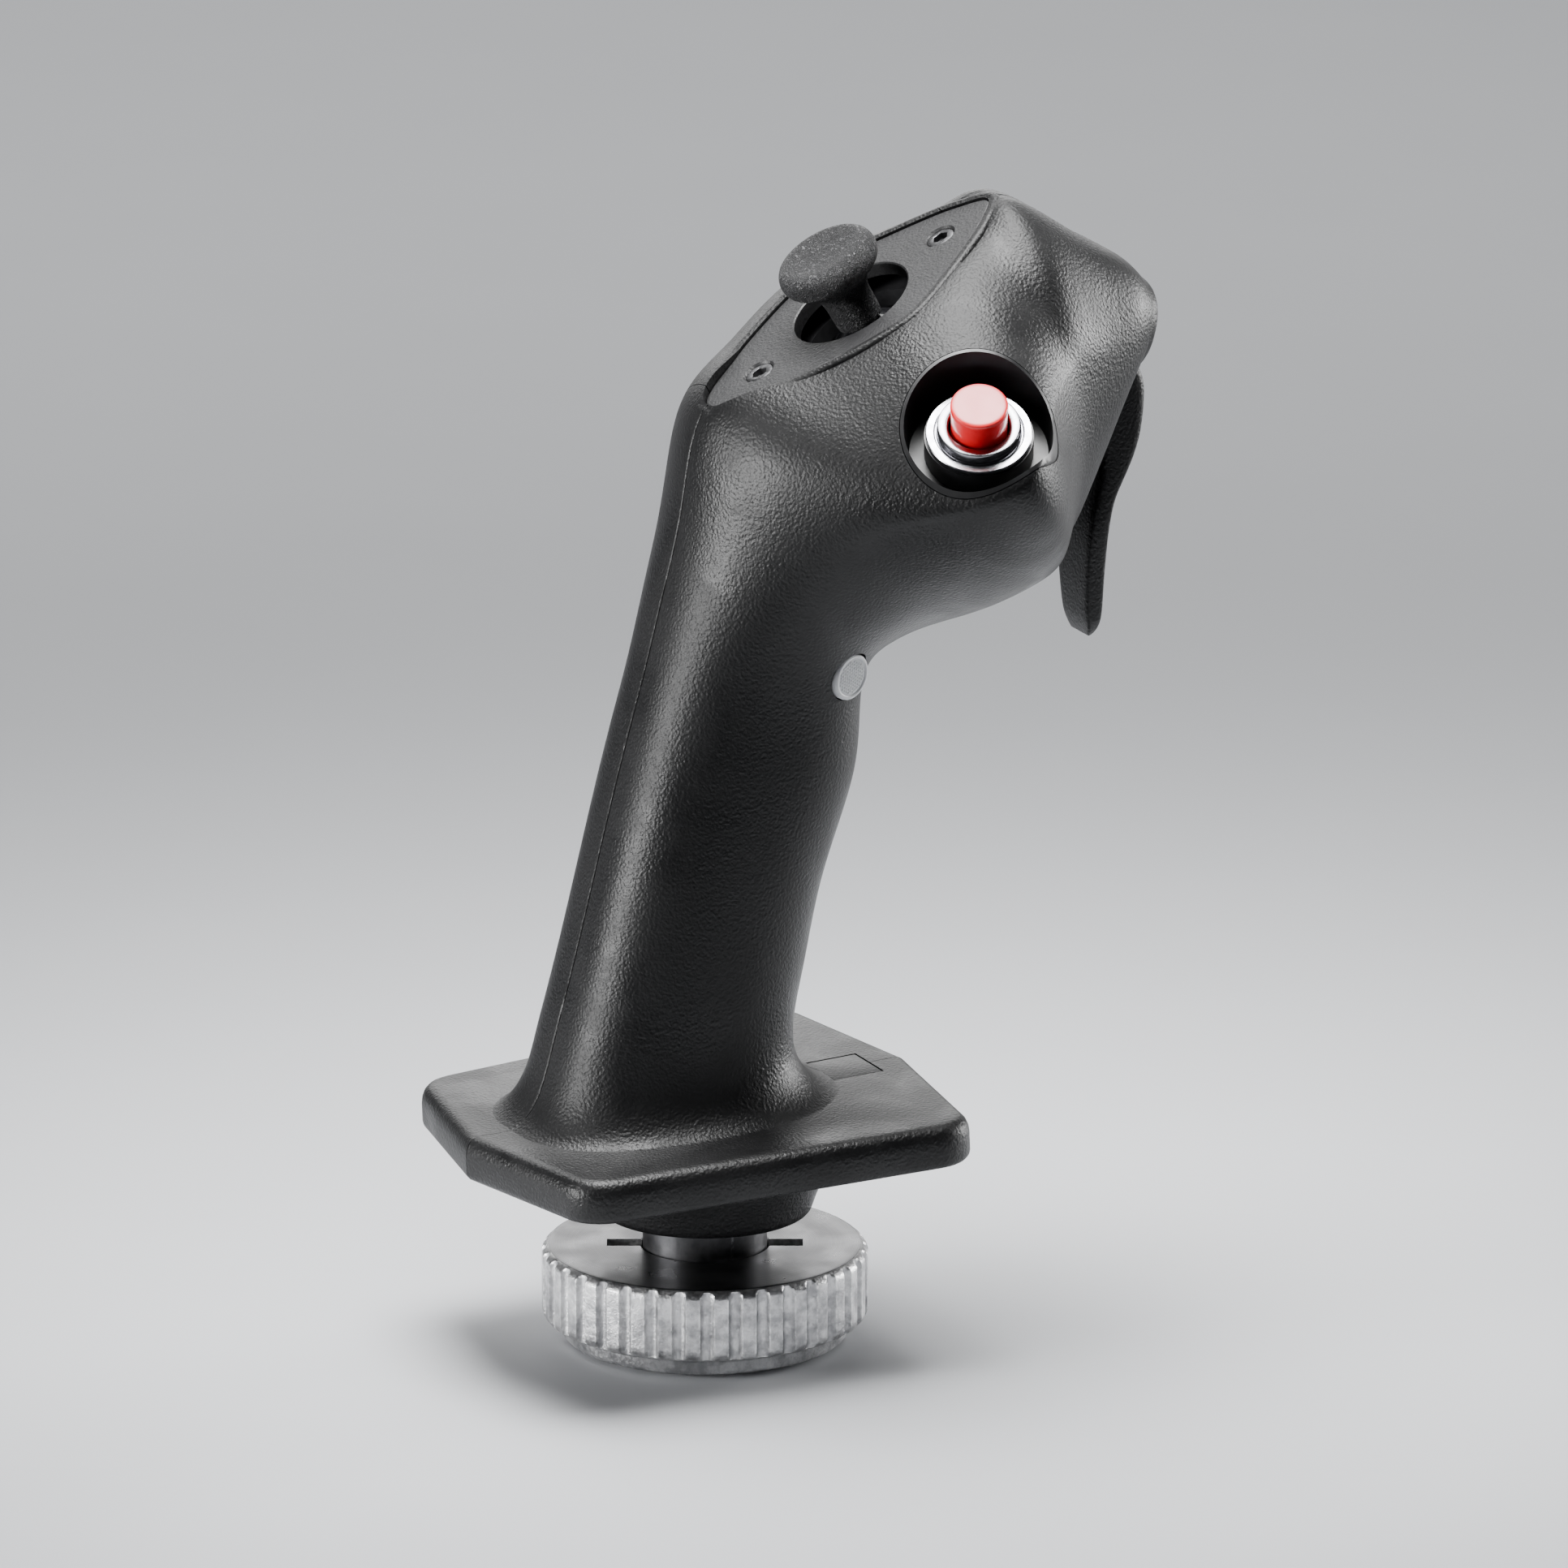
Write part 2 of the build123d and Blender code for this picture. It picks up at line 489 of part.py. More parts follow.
# ---- Foot boss, neck, plug -----------------------------------------------
boss_top = rest_floor(0) + WALL + BOSS_FLANGE_THICK
floor_top = rest_floor(0) + WALL
boss_low = Plane.XY.offset(BOSS_LOW) * Circle(BOSS_LOW_R)
boss_high = Plane.XY.offset(25.5) * Circle(BOSS_HIGH_R)
boss = loft(Sketch() + [boss_low, boss_high]) + rod(Plane.XY, BOSS_HIGH_R, 25.5, boss_top)
boss = boss + rod(Plane.XY, BOSS_FLANGE_R, floor_top, boss_top)
boss = chamfer(boss.faces().sort_by(Axis.Z)[0].edges(), 0.8)
boss = boss - rod(Plane.XY, NECK_R + FIT, 0, 60)
save("foot_boss", boss)
web_low = NUT_TOP - NUT_WEB
foot_top = web_low - RUN
neck_top = boss_top + 2.8
neck = rod(Plane.XY, NECK_R, foot_top - 0.5, neck_top) + rod(Plane.XY, FOOT_R, foot_top - FOOT_THICK, foot_top)
neck = neck - rod(Plane.XY, NECK_BORE_R, 0, 60)
neck = neck - rod(Plane.XY, KEY_PIN_R + FIT, 0, foot_top + 1, KEY_PIN_AT)
save("neck", neck)
save("locating_pin", rod(Plane.XY, KEY_PIN_R, KEY_PIN_LOW, foot_top - RUN, KEY_PIN_AT))
save("neck_lock_ring", tube(Plane.XY, LOCK_R, NECK_R + FIT, boss_top + GAP, neck_top))
plug = rod(Plane.XY, PLUG_R, 9.0, 16.0)
pins = []
for i in range(PLUG_PINS):
    angle = 2 * pi * i / PLUG_PINS
    spot = (PLUG_PIN_RING * cos(angle), PLUG_PIN_RING * sin(angle))
    plug = plug - rod(Plane.XY, PLUG_PIN_R + FIT, 0, 30, spot)
    pins.append(rod(Plane.XY, PLUG_PIN_R, PLUG_PIN_LOW, 17.2, spot))
save("plug_insert", plug)
save("plug_pins", *pins)

# ---- Ring nut ------------------------------------------------------------
skirt_top = NUT_BAND_LOW
nut_side = [(THREAD_R, 0), (NUT_SKIRT_R - 0.8, 0), (NUT_SKIRT_R, 0.8), (NUT_SKIRT_R, 2.0),
            (NUT_R - 1.0, skirt_top - 0.4), (NUT_R, skirt_top + 0.8), (NUT_R, NUT_TOP - NUT_CHAMFER),
            (NUT_R - NUT_CHAMFER, NUT_TOP), (NUT_HOLE_R, NUT_TOP), (NUT_HOLE_R, web_low), (RELIEF_R, web_low),
            (RELIEF_R, THREAD_LONG), (THREAD_R, THREAD_LONG)]
nut = revolve(Plane.XZ * make_face(Polyline(*nut_side, close=True)), Axis.Z)
for i in range(GROOVES):
    nut = nut - Rot(0, 0, (i + 0.5) * 360 / GROOVES) * Pos(NUT_R + 0.35, 0, (NUT_TOP + skirt_top) / 2) * Cylinder(
        GROOVE_R, NUT_TOP - skirt_top - 2 * NUT_CHAMFER)
nut = nut - Rot(0, 0, NUT_KEY_TURN) * block((-NUT_SLOT_R, NUT_SLOT_R), (-NUT_SLOT / 2, NUT_SLOT / 2),
                                            (web_low - 1, NUT_TOP + 1))
save("ring_nut", nut)

# ---- Circuit board, loom and shell screws --------------------------------
board = block((-BOARD_THICK / 2, BOARD_THICK / 2), (-BOARD_SIZE[0] / 2, BOARD_SIZE[0] / 2),
              (-BOARD_SIZE[1] / 2, BOARD_SIZE[1] / 2))
save("circuit_board", Pos(0, BOARD_AT[0], BOARD_AT[1]) * Rot(-BOARD_LEAN, 0, 0) * board)
loom_path = Spline((0, 0, 17.6), (0, -1.0, 34), (0, 3.0, 47), (0, 3.0, 56), (2.7, -2.0, 66),
                   tangents=[(0, 0, 1), (0, 0, 1)])
loom = sweep(Plane(origin=loom_path @ 0, z_dir=(0, 0, 1)) * Circle(1.6), path=loom_path)
save("wire_loom", loom)
shell_screws = []
for y, z in SHELL_SCREWS:
    screw = cross_rod(y, z, SCREW_R, -SCREW_REACH - 0.2, SCREW_REACH)
    screw = screw + cross_rod(y, z, SCREW_HEAD_R, -SCREW_REACH - SCREW_HEAD, -SCREW_REACH - FIT)
    socket = Pos(-SCREW_REACH - SCREW_HEAD, y, z) * Rot(0, 90, 0) * extrude(RegularPolygon(1.4, 6), 1.2)
    shell_screws.append(screw - socket)
save("shell_screws", *shell_screws)
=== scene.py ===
from math import cos, hypot, pi, radians, sin, sqrt

import bmesh
import bpy
import numpy as np
from mathutils import Matrix, Vector


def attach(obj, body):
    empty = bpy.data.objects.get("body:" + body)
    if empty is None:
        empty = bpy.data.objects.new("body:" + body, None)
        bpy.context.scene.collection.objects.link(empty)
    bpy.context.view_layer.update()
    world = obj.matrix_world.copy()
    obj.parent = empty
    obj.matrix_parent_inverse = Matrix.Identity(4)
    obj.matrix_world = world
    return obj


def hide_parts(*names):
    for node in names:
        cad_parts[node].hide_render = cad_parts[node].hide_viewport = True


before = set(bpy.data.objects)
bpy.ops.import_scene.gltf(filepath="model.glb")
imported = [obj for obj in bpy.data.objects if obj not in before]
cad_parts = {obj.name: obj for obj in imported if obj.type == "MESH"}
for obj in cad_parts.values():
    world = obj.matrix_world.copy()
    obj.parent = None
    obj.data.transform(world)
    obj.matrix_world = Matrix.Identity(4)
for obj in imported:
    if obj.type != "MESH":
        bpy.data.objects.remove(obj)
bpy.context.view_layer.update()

# Flight-stick grip. Metres; +X is the pilot's right, +Y forward, +Z up, and the
# ring nut's axis is Z. Sizes below are written in millimetres and scaled by MM.

MM = 0.001
RIGHT, LEFT = 1, -1
SEAM = 0.05
WALL = 2.4

# Stations up the grip: back point (Y, Z), front point (Y, Z), half width, share of
# the depth at the widest line, flat half width, fullness behind and in front of it.
STATIONS = [
    ((-31.0, 33.4), (20.0, 35.4), 20.4, 0.50, 2.0, 2.3, 2.3),
    ((-28.9, 34.6), (17.4, 36.3), 18.6, 0.50, 2.0, 2.3, 2.3),
    ((-26.9, 36.6), (14.8, 37.7), 16.9, 0.50, 2.0, 2.4, 2.4),
    ((-25.2, 40.0), (12.8, 40.0), 15.6, 0.50, 2.0, 2.4, 2.4),
    ((-23.6, 45.5), (11.7, 43.6), 14.9, 0.50, 2.0, 2.4, 2.4),
    ((-21.6, 52.5), (12.0, 48.5), 14.7, 0.50, 2.0, 2.4, 2.4),
    ((-19.3, 61.0), (13.4, 55.0), 14.6, 0.50, 2.0, 2.4, 2.4),
    ((-15.7, 75.0), (16.3, 67.5), 14.6, 0.50, 2.0, 2.4, 2.4),
    ((-11.9, 89.0), (21.0, 81.5), 14.8, 0.50, 2.0, 2.4, 2.4),
    ((-8.9, 99.5), (21.9, 89.5), 15.3, 0.49, 1.8, 2.3, 2.3),
    ((-6.4, 109.0), (23.0, 96.2), 17.0, 0.46, 1.6, 2.1, 2.1),
    ((-3.6, 120.5), (26.9, 98.9), 20.5, 0.42, 1.4, 1.8, 1.9),
    ((-0.3, 134.35), (32.4, 100.2), 26.6, 0.39, 2.0, 1.5, 1.75),
    ((11.4, 141.08), (39.1, 102.4), 36.6, 0.37, 10.6, 1.3, 1.74),
    ((22.7, 147.58), (45.3, 105.0), 40.6, 0.37, 14.9, 1.28, 1.72),
    ((34.0, 154.07), (49.9, 106.4), 30.3, 0.34, 10.8, 1.4, 1.88),
    ((41.5, 158.39), (52.2, 109.0), 23.3, 0.365, 5.6, 1.5, 1.93),
    ((45.3, 160.5), (53.3, 110.4), 21.0, 0.38, 3.0, 1.6, 2.0),
    ((56.0, 154.6), (56.6, 119.2), 16.4, 0.42, 2.5, 1.9, 2.2),
    ((63.2, 150.2), (59.4, 127.0), 13.1, 0.45, 2.5, 2.2, 2.3),
    ((67.3, 145.4), (63.8, 135.9), 9.5, 0.5, 2.0, 2.2, 2.2),
]
ROWS = 230
QUARTER = 26

PLATE_TIP = Vector((0, 1.0, 135.1))
PLATE_ANGLE = radians(29.9)
PLATE_OUTLINE = [(0.0, 0.0), (0.5, 2.2), (3.0, 4.5), (7.6, 6.9), (12.0, 9.2), (20.0, 12.3),
                 (26.0, 13.6), (30.0, 13.0), (36.0, 10.2), (43.7, 5.9), (47.4, 3.0),
                 (49.2, 1.2), (49.6, 0.0)]
PLATE_SCREWS = (8.6, 41.0)
STICK_AT = 25.05
WELL_R = 8.75
COVER_SPAN = (2.1, 44.5)
COVER_DEPTH = 23.0
BUTTON_AT = Vector((31.8, 26.9, 138.2))
BUTTON_AXIS = Vector((0.498, -0.243, 0.832)).normalized()
CUP_R = 10.95
PALE_AT = Vector((13.9, 15.7, 97.9))
PALE_AXIS = Vector((0.925, 0.36, -0.10)).normalized()
PALE_R = 3.4
SLOT_HALF, SLOT_BACK, SLOT_TOP = 6.3, 51.2, 138.9
REST_BACK = (-36.9, 27.4)
REST_TILT = radians(2.4)
REST_THICK = 6.2
REST_HALF = [(0.0, 0.0), (28.3, 5.2), (32.0, 64.5), (0.0, 69.0)]
REST_CORNER_R = 6.5
HATCH_HALF = 4.4
HATCH_SPAN = (18.4, 26.0)
NUT_R, NUT_TOP, NUT_HOLE_R = 23.0, 13.2, 9.05
GROOVES = 36
GROOVE_R = 1.0
NUT_KEY_TURN = radians(64.0)


# ---- Frames of reference ------------------------------------------------------
def frame_matrix(origin, axis, along=None):
    """Local axes at a place: +Z along axis, +X as near to along as it can be."""
    z = Vector(axis).normalized()
    x = Vector(along) if along is not None else z.orthogonal()
    x = (x - z * x.dot(z)).normalized()
    y = z.cross(x)
    turn = Matrix((x, y, z)).transposed().to_4x4()
    return Matrix.Translation(Vector(origin)) @ turn


PLATE = frame_matrix(PLATE_TIP, (0, -sin(PLATE_ANGLE), cos(PLATE_ANGLE)),
                     (0, cos(PLATE_ANGLE), sin(PLATE_ANGLE)))
STICK = PLATE @ Matrix.Translation((STICK_AT, 0, 0))
BUTTON = frame_matrix(BUTTON_AT, BUTTON_AXIS, (0, 1, 0.3))
PALE = frame_matrix(PALE_AT, PALE_AXIS, (0, 0, 1))
REST = frame_matrix((0, REST_BACK[0], REST_BACK[1]), (0, -sin(REST_TILT), cos(REST_TILT)), (1, 0, 0))


# ---- Mesh helpers --------------------------------------------------------------
def new_piece(name, points, faces, angle=35.0):
    """A mesh object from points in millimetres, shaded smooth below an angle."""
    mesh = bpy.data.meshes.new(name)
    mesh.from_pydata([tuple(c * MM for c in p) for p in points], [], faces)
    piece = bpy.data.objects.new(name, mesh)
    bpy.context.collection.objects.link(piece)
    tidy_mesh(piece, angle)
    return piece


def tidy_mesh(piece, angle=35.0, merge=0.002):
    """Merges doubles, points the faces outwards and sets smooth shading."""
    build = bmesh.new()
    build.from_mesh(piece.data)
    bmesh.ops.remove_doubles(build, verts=build.verts, dist=merge * MM)
    bmesh.ops.dissolve_degenerate(build, edges=build.edges, dist=merge * MM / 4)
    bmesh.ops.recalc_face_normals(build, faces=build.faces)
    for edge in build.edges:
        edge.smooth = len(edge.link_faces) == 2 and edge.calc_face_angle(0) < radians(angle)
    for face in build.faces:
        face.smooth = True
    build.to_mesh(piece.data)
    build.free()


def lathe(name, matrix, profile, steps=96, angle=35.0):
    """Turns a profile of (radius, height) about a frame's own Z axis."""
    points, faces, rings = [], [], []
    for radius, height in profile:
        if radius < 1e-6:
            rings.append([len(points)] * steps)
            points.append(matrix @ Vector((0, 0, height)))
            continue
        rings.append(list(range(len(points), len(points) + steps)))
        for i in range(steps):
            turn = 2 * pi * i / steps
            points.append(matrix @ Vector((radius * cos(turn), radius * sin(turn), height)))
    for low, high in zip(rings, rings[1:] + rings[:1]):
        for i in range(steps):
            j = (i + 1) % steps
            face = list(dict.fromkeys((low[i], low[j], high[j], high[i])))
            if len(face) > 2:
                faces.append(face)
    return new_piece(name, points, faces, angle)


def prism(name, matrix, outline, low, high, angle=35.0):
    """A closed outline of (x, y) points raised between two heights."""
    count = len(outline)
    points = [matrix @ Vector((x, y, low)) for x, y in outline]
    points += [matrix @ Vector((x, y, high)) for x, y in outline]
    faces = [tuple(range(count)), tuple(range(count, 2 * count))]
    faces += [(i, (i + 1) % count, (i + 1) % count + count, i + count) for i in range(count)]
    return new_piece(name, points, faces, angle)


def block(name, x, y, z, matrix=None):
    """A box given by its (from, to) pairs."""
    outline = [(x[0], y[0]), (x[1], y[0]), (x[1], y[1]), (x[0], y[1])]
    return prism(name, matrix or Matrix.Identity(4), outline, z[0], z[1])


def bake(piece):
    """Applies a piece's modifiers to its mesh."""
    graph = bpy.context.evaluated_depsgraph_get()
    graph.update()
    mesh = bpy.data.meshes.new_from_object(piece.evaluated_get(graph))
    old = piece.data
    piece.modifiers.clear()
    piece.data = mesh
    bpy.data.meshes.remove(old)


def combine(piece, other, how="DIFFERENCE", keep=False):
    """Cuts other from piece, joins it to piece or keeps what they share."""
    change = piece.modifiers.new("combine", "BOOLEAN")
    change.operation = how
    change.object = other
    change.solver = "EXACT"
    bake(piece)
    if not keep:
        bpy.data.objects.remove(other)


def twin(piece, name):
    """A separate copy of a piece."""
    copy = piece.copy()
    copy.data = piece.data.copy()
    copy.name = name
    bpy.context.collection.objects.link(copy)
    return copy


def round_edges(piece, width, segments=2, angle=40.0):
    """Rounds a piece's sharp edges."""
    bevel = piece.modifiers.new("round", "BEVEL")
    bevel.width = width * MM
    bevel.segments = segments
    bevel.limit_method = "ANGLE"
    bevel.angle_limit = radians(angle)
    bevel.harden_normals = False
    bake(piece)


# ---- Outlines --------------------------------------------------------------------
def smooth_loop(points, per_span=8):
    """A closed Catmull-Rom curve through points."""
    count = len(points)
    loop = []
    for i in range(count):
        a, b, c, d = (np.array(points[(i + k - 1) % count], float) for k in range(4))
        for j in range(per_span):
            t = j / per_span
            loop.append(0.5 * (2 * b + (c - a) * t + (2 * a - 5 * b + 4 * c - d) * t ** 2
                               + (3 * b - a - 3 * c + d) * t ** 3))
    return np.array(loop)


def grow_loop(loop, amount):
    """Moves a closed loop outwards along its normals."""
    ahead = np.roll(loop, -1, axis=0) - np.roll(loop, 1, axis=0)
    normal = np.stack([ahead[:, 1], -ahead[:, 0]], axis=1)
    normal /= np.linalg.norm(normal, axis=1)[:, None]
    area = np.sum(loop[:, 0] * np.roll(loop[:, 1], -1) - loop[:, 1] * np.roll(loop[:, 0], -1))
    return loop + normal * amount * (1 if area > 0 else -1)


def plate_loop(grow=0.0):
    """The control plate's outline in the plate's frame."""
    right = [(s, -t) for s, t in PLATE_OUTLINE]
    left = [(s, t) for s, t in reversed(PLATE_OUTLINE[1:-1])]
    return grow_loop(smooth_loop(right + left), grow)


def ledge_loop():
    """The opening inside the ledge that the control plate rests on."""
    right = [(s, 2.4 - t) for s, t in PLATE_OUTLINE if t > 4.0]
    tips = [(right[0][0] - 2.0, 0.0), (right[-1][0] + 2.0, 0.0)]
    left = [(s, -t) for s, t in reversed(right)]
    return smooth_loop([tips[0]] + right + [tips[1]] + left)


def stacked(name, matrix, loops, angle=35.0):
    """A closed body through a stack of loops, each (loop, height)."""
    count = len(loops[0][0])
    points, faces = [], []
    for loop, height in loops:
        points += [matrix @ Vector((x, y, height)) for x, y in loop]
    for row in range(len(loops) - 1):
        for i in range(count):
            j = (i + 1) % count
            faces.append((row * count + i, row * count + j, (row + 1) * count + j, (row + 1) * count + i))
    faces.append(tuple(range(count)))
    faces.append(tuple(range((len(loops) - 1) * count, len(loops) * count)))
    return new_piece(name, points, faces, angle)


# ---- Grip body -------------------------------------------------------------------
def station_columns(station, inset=0.0):
    """One station's right half as rows of (x, y, z), from back to front."""
    (back_y, back_z), (front_y, front_z), half, share, flat, full_back, full_front = station
    depth = hypot(front_y - back_y, front_z - back_z)
    step_y, step_z = (front_y - back_y) / depth, (front_z - back_z) / depth
    widest = share * depth
    half -= inset
    flat = min(flat, half * 0.6)
    outline = [(flat * k, inset) for k in (0.0, 0.33, 0.66)]
    for i in range(QUARTER + 1):
        turn = pi / 2 * i / QUARTER
        outline.append((flat + (half - flat) * sin(turn) ** (2 / full_back),
                        inset + (widest - inset) * (1 - max(cos(turn), 0.0) ** (2 / full_back))))
    for i in range(1, QUARTER + 1):
        turn = pi / 2 * i / QUARTER
        outline.append((half * max(cos(turn), 0.0) ** (2 / full_front),
                        widest + (depth - inset - widest) * sin(turn) ** (2 / full_front)))
    return np.array([(x, back_y + step_y * q, back_z + step_z * q) for x, q in outline])


def natural_spline(knots, values, at):
    """Natural cubic spline through values (knots along axis 0)."""
    count = len(knots)
    gap = np.diff(knots)
    system = np.zeros((count, count))
    right = np.zeros(values.shape)
    system[0, 0] = system[-1, -1] = 1
    for i in range(1, count - 1):
        system[i, i - 1], system[i, i], system[i, i + 1] = gap[i - 1], 2 * (gap[i - 1] + gap[i]), gap[i]
        right[i] = 6 * ((values[i + 1] - values[i]) / gap[i] - (values[i] - values[i - 1]) / gap[i - 1])
    bend = np.linalg.solve(system, right.reshape(count, -1)).reshape(values.shape)
    span = np.clip(np.searchsorted(knots, at) - 1, 0, count - 2)
    result = []
    for i, place in zip(span, at):
        h, a, b = gap[i], (knots[i + 1] - place), (place - knots[i])
        result.append((bend[i] * a ** 3 + bend[i + 1] * b ** 3) / (6 * h)
                      + (values[i] / h - bend[i] * h / 6) * a + (values[i + 1] / h - bend[i + 1] * h / 6) * b)
    return np.array(result)


def body_rows(inset=0.0, rows=ROWS):
    """The grip's right half as a grid of points, from the foot to the nose."""
    chosen = STATIONS if inset == 0 else STATIONS[1:]
    grid = np.array([station_columns(s, inset) for s in chosen])
    centres = grid.mean(axis=1)
    knots = np.concatenate([[0], np.cumsum(np.linalg.norm(np.diff(centres, axis=0), axis=1) + 2.0)])
    end = knots[-1] - (2.2 if inset == 0 else 3.5)
    smooth = natural_spline(knots, grid, np.linspace(0, end, rows))
    return smooth


def half_body(name, side, inset=0.0, groove=0.25):
    """A closed solid of one half of the grip, with a fine groove along its seam."""
    rows = body_rows(inset, ROWS if inset == 0 else ROWS // 3)
    if inset == 0:
        tip = rows[-1]
        centre = tip.mean(axis=0) * np.array([0, 1, 1])
        ahead = np.array([0, 0.995, -0.08])
        rings = [(0.975, 0.55), (0.93, 0.95), (0.86, 1.15), (0.7, 1.25)]
        rows = np.concatenate([rows, [centre + (tip - centre) * k + ahead * d for k, d in rings]])
        inward = centre_pull(rows)
        first = rows + inward * groove
        edge = []
        for grid, x in ((first, SEAM), (rows + inward * groove * 0.25, SEAM + 0.12), (rows, SEAM + 0.35)):
            column = grid.copy()
            column[:, :, 0] = x
            edge.append(column)
        body = [edge[0][:, 0], edge[1][:, 0], edge[2][:, 0]]
        body += [rows[:, k] for k in range(1, rows.shape[1] - 1)]
        body += [edge[2][:, -1], edge[1][:, -1], edge[0][:, -1]]
        rows = np.stack(body, axis=1)
    rows[:, :, 0] = np.maximum(rows[:, :, 0], SEAM if inset == 0 else -0.2)
    if inset:
        rows[:, 0, 0] = rows[:, -1, 0] = -0.2
    rows[:, :, 0] *= side
    height, width = rows.shape[:2]
    points = [tuple(p) for p in rows.reshape(-1, 3)]
    faces = []
    for i in range(height - 1):
        for j in range(width):
            k = (j + 1) % width
            faces.append((i * width + j, i * width + k, (i + 1) * width + k, (i + 1) * width + j))
    faces.append(tuple(range(width)))
    faces.append(tuple(range((height - 1) * width, height * width)))
    return new_piece(name, points, faces, 50.0)


def centre_pull(rows):
    """Unit vectors from each row's two seam ends towards its middle."""
    pull = np.zeros_like(rows)
    for k, other in ((0, -1), (-1, 0)):
        inward = rows[:, other] - rows[:, k]
        inward[:, 0] = 0
        pull[:, k] = inward / np.linalg.norm(inward, axis=1)[:, None]
    return pull


def rest_loop(inset):
    """The hand rest's outline with rounded corners, drawn inwards by inset."""
    corners = REST_HALF + [(-x, y) for x, y in reversed(REST_HALF[1:-1])]
    count = len(corners)
    loop = []
    for i, corner in enumerate(corners):
        here = Vector(corner)
        before = (Vector(corners[i - 1]) - here).normalized()
        after = (Vector(corners[(i + 1) % count]) - here).normalized()
        half_angle = before.angle(after) / 2
        radius = REST_CORNER_R if abs(corner[0]) > 1 else 2.5
        middle = here + (before + after).normalized() * radius / sin(half_angle)
        reach = radius / sin(half_angle) * cos(half_angle)
        start = here + before * reach - middle
        sweep = start.angle_signed(here + after * reach - middle)
        steps = 12
        for j in range(steps + 1):
            turned = start.copy()
            turned.rotate(Matrix.Rotation(-sweep * j / steps, 2))
            loop.append(middle + turned)
    return grow_loop(np.array([(p.x, p.y) for p in loop]), -inset)


def hand_rest(name, side):
    """One half of the hand rest."""
    levels = [(1.0, 0.0), (0.45, 0.2), (0.12, 0.6), (0.0, 1.1), (0.0, 3.6), (0.12, 4.5), (0.45, 5.3),
              (0.95, 5.85), (1.6, 6.13), (2.3, 6.2)]
    rest = stacked(name, REST, [(rest_loop(inset), height) for inset, height in levels], 50.0)
    half = block("half_space", sorted(((SEAM - 0.02) * side, 60 * side)), (-60, 60), (0, 60))
    combine(rest, half, "INTERSECT")
    return rest


def shell_half(name, side):
    """One half of the grip with its wall, before the openings of its own side."""
    shell = half_body(name, side)
    combine(shell, hand_rest("rest", side), "UNION")
    lip_loops = [(plate_loop(1.75), -1.6), (plate_loop(1.6), -0.1), (plate_loop(1.35), 0.28),
                 (plate_loop(1.0), 0.42), (plate_loop(0.6), 0.42), (plate_loop(0.25), 0.3)]
    lip = stacked("lip", PLATE, lip_loops)
    combine(lip, block("half", sorted(((SEAM - 0.03) * side, 60 * side)), (-60, 90), (90, 200)), "INTERSECT")
    combine(shell, lip, "UNION")
    combine(shell, block("half", sorted(((SEAM + 0.004) * side, 80 * side)), (-90, 120), (-10, 220)),
            "INTERSECT")
    combine(shell, half_body("hollow", side, WALL))
    combine(shell, stacked("opening", PLATE, [(ledge_loop(), -9.0), (ledge_loop(), -1.0)]))
    combine(shell, stacked("pocket", PLATE, [(plate_loop(0.12), -2.1), (plate_loop(0.12), 4.0)]))
    combine(shell, block("slot", (-SLOT_HALF, SLOT_HALF), (SLOT_BACK, 80), (90, SLOT_TOP)))
    hatch_y = (HATCH_SPAN[0] - REST_BACK[0] - 0.15, HATCH_SPAN[1] - REST_BACK[0] + 0.15)
    combine(shell, block("hatch", (-HATCH_HALF - 0.15, HATCH_HALF + 0.15), hatch_y,
                         (REST_THICK - 1.55, 12), REST))
    foot = [(0, 10), (18.3, 10), (18.3, 31.3), (20.7, 31.31), (20.7, 34.5), (0, 34.6)]
    combine(shell, lathe("foot", Matrix.Identity(4), foot, 72))
    tidy_mesh(shell, 42.0)
    return shell


def make_shells():
    """Both grip shells and the left head cover."""
    right = shell_half("right_shell", RIGHT)
    combine(right, lathe("cup_hole", BUTTON, [(0, -9), (CUP_R + 0.12, -9), (CUP_R + 0.12, 12), (0, 12)], 128))
    combine(right, lathe("pale_hole", PALE, [(0, -6), (PALE_R + 0.22, -6), (PALE_R + 0.22, 6), (0, 6)], 96))
    tidy_mesh(right, 42.0)
    left = shell_half("left_shell", LEFT)
    cover = twin(left, "left_cover")

    def zone(name, extra):
        return block(name, (COVER_SPAN[0] - extra, COVER_SPAN[1] + extra), (0.4 - extra, 60),
                     (-COVER_DEPTH - extra, 8), PLATE)

    combine(cover, zone("zone", 0), "INTERSECT")
    combine(cover, stacked("ledge", PLATE, [(plate_loop(0.9), -9), (plate_loop(0.9), -2.1)]))
    cut = zone("cut", 0.14)
    combine(cut, stacked("ledge", PLATE, [(plate_loop(0.75), -9.2), (plate_loop(0.75), -2.2)]))
    combine(left, cut)
    for shell in (left, cover):
        tidy_mesh(shell, 42.0)
    return right, left, cover


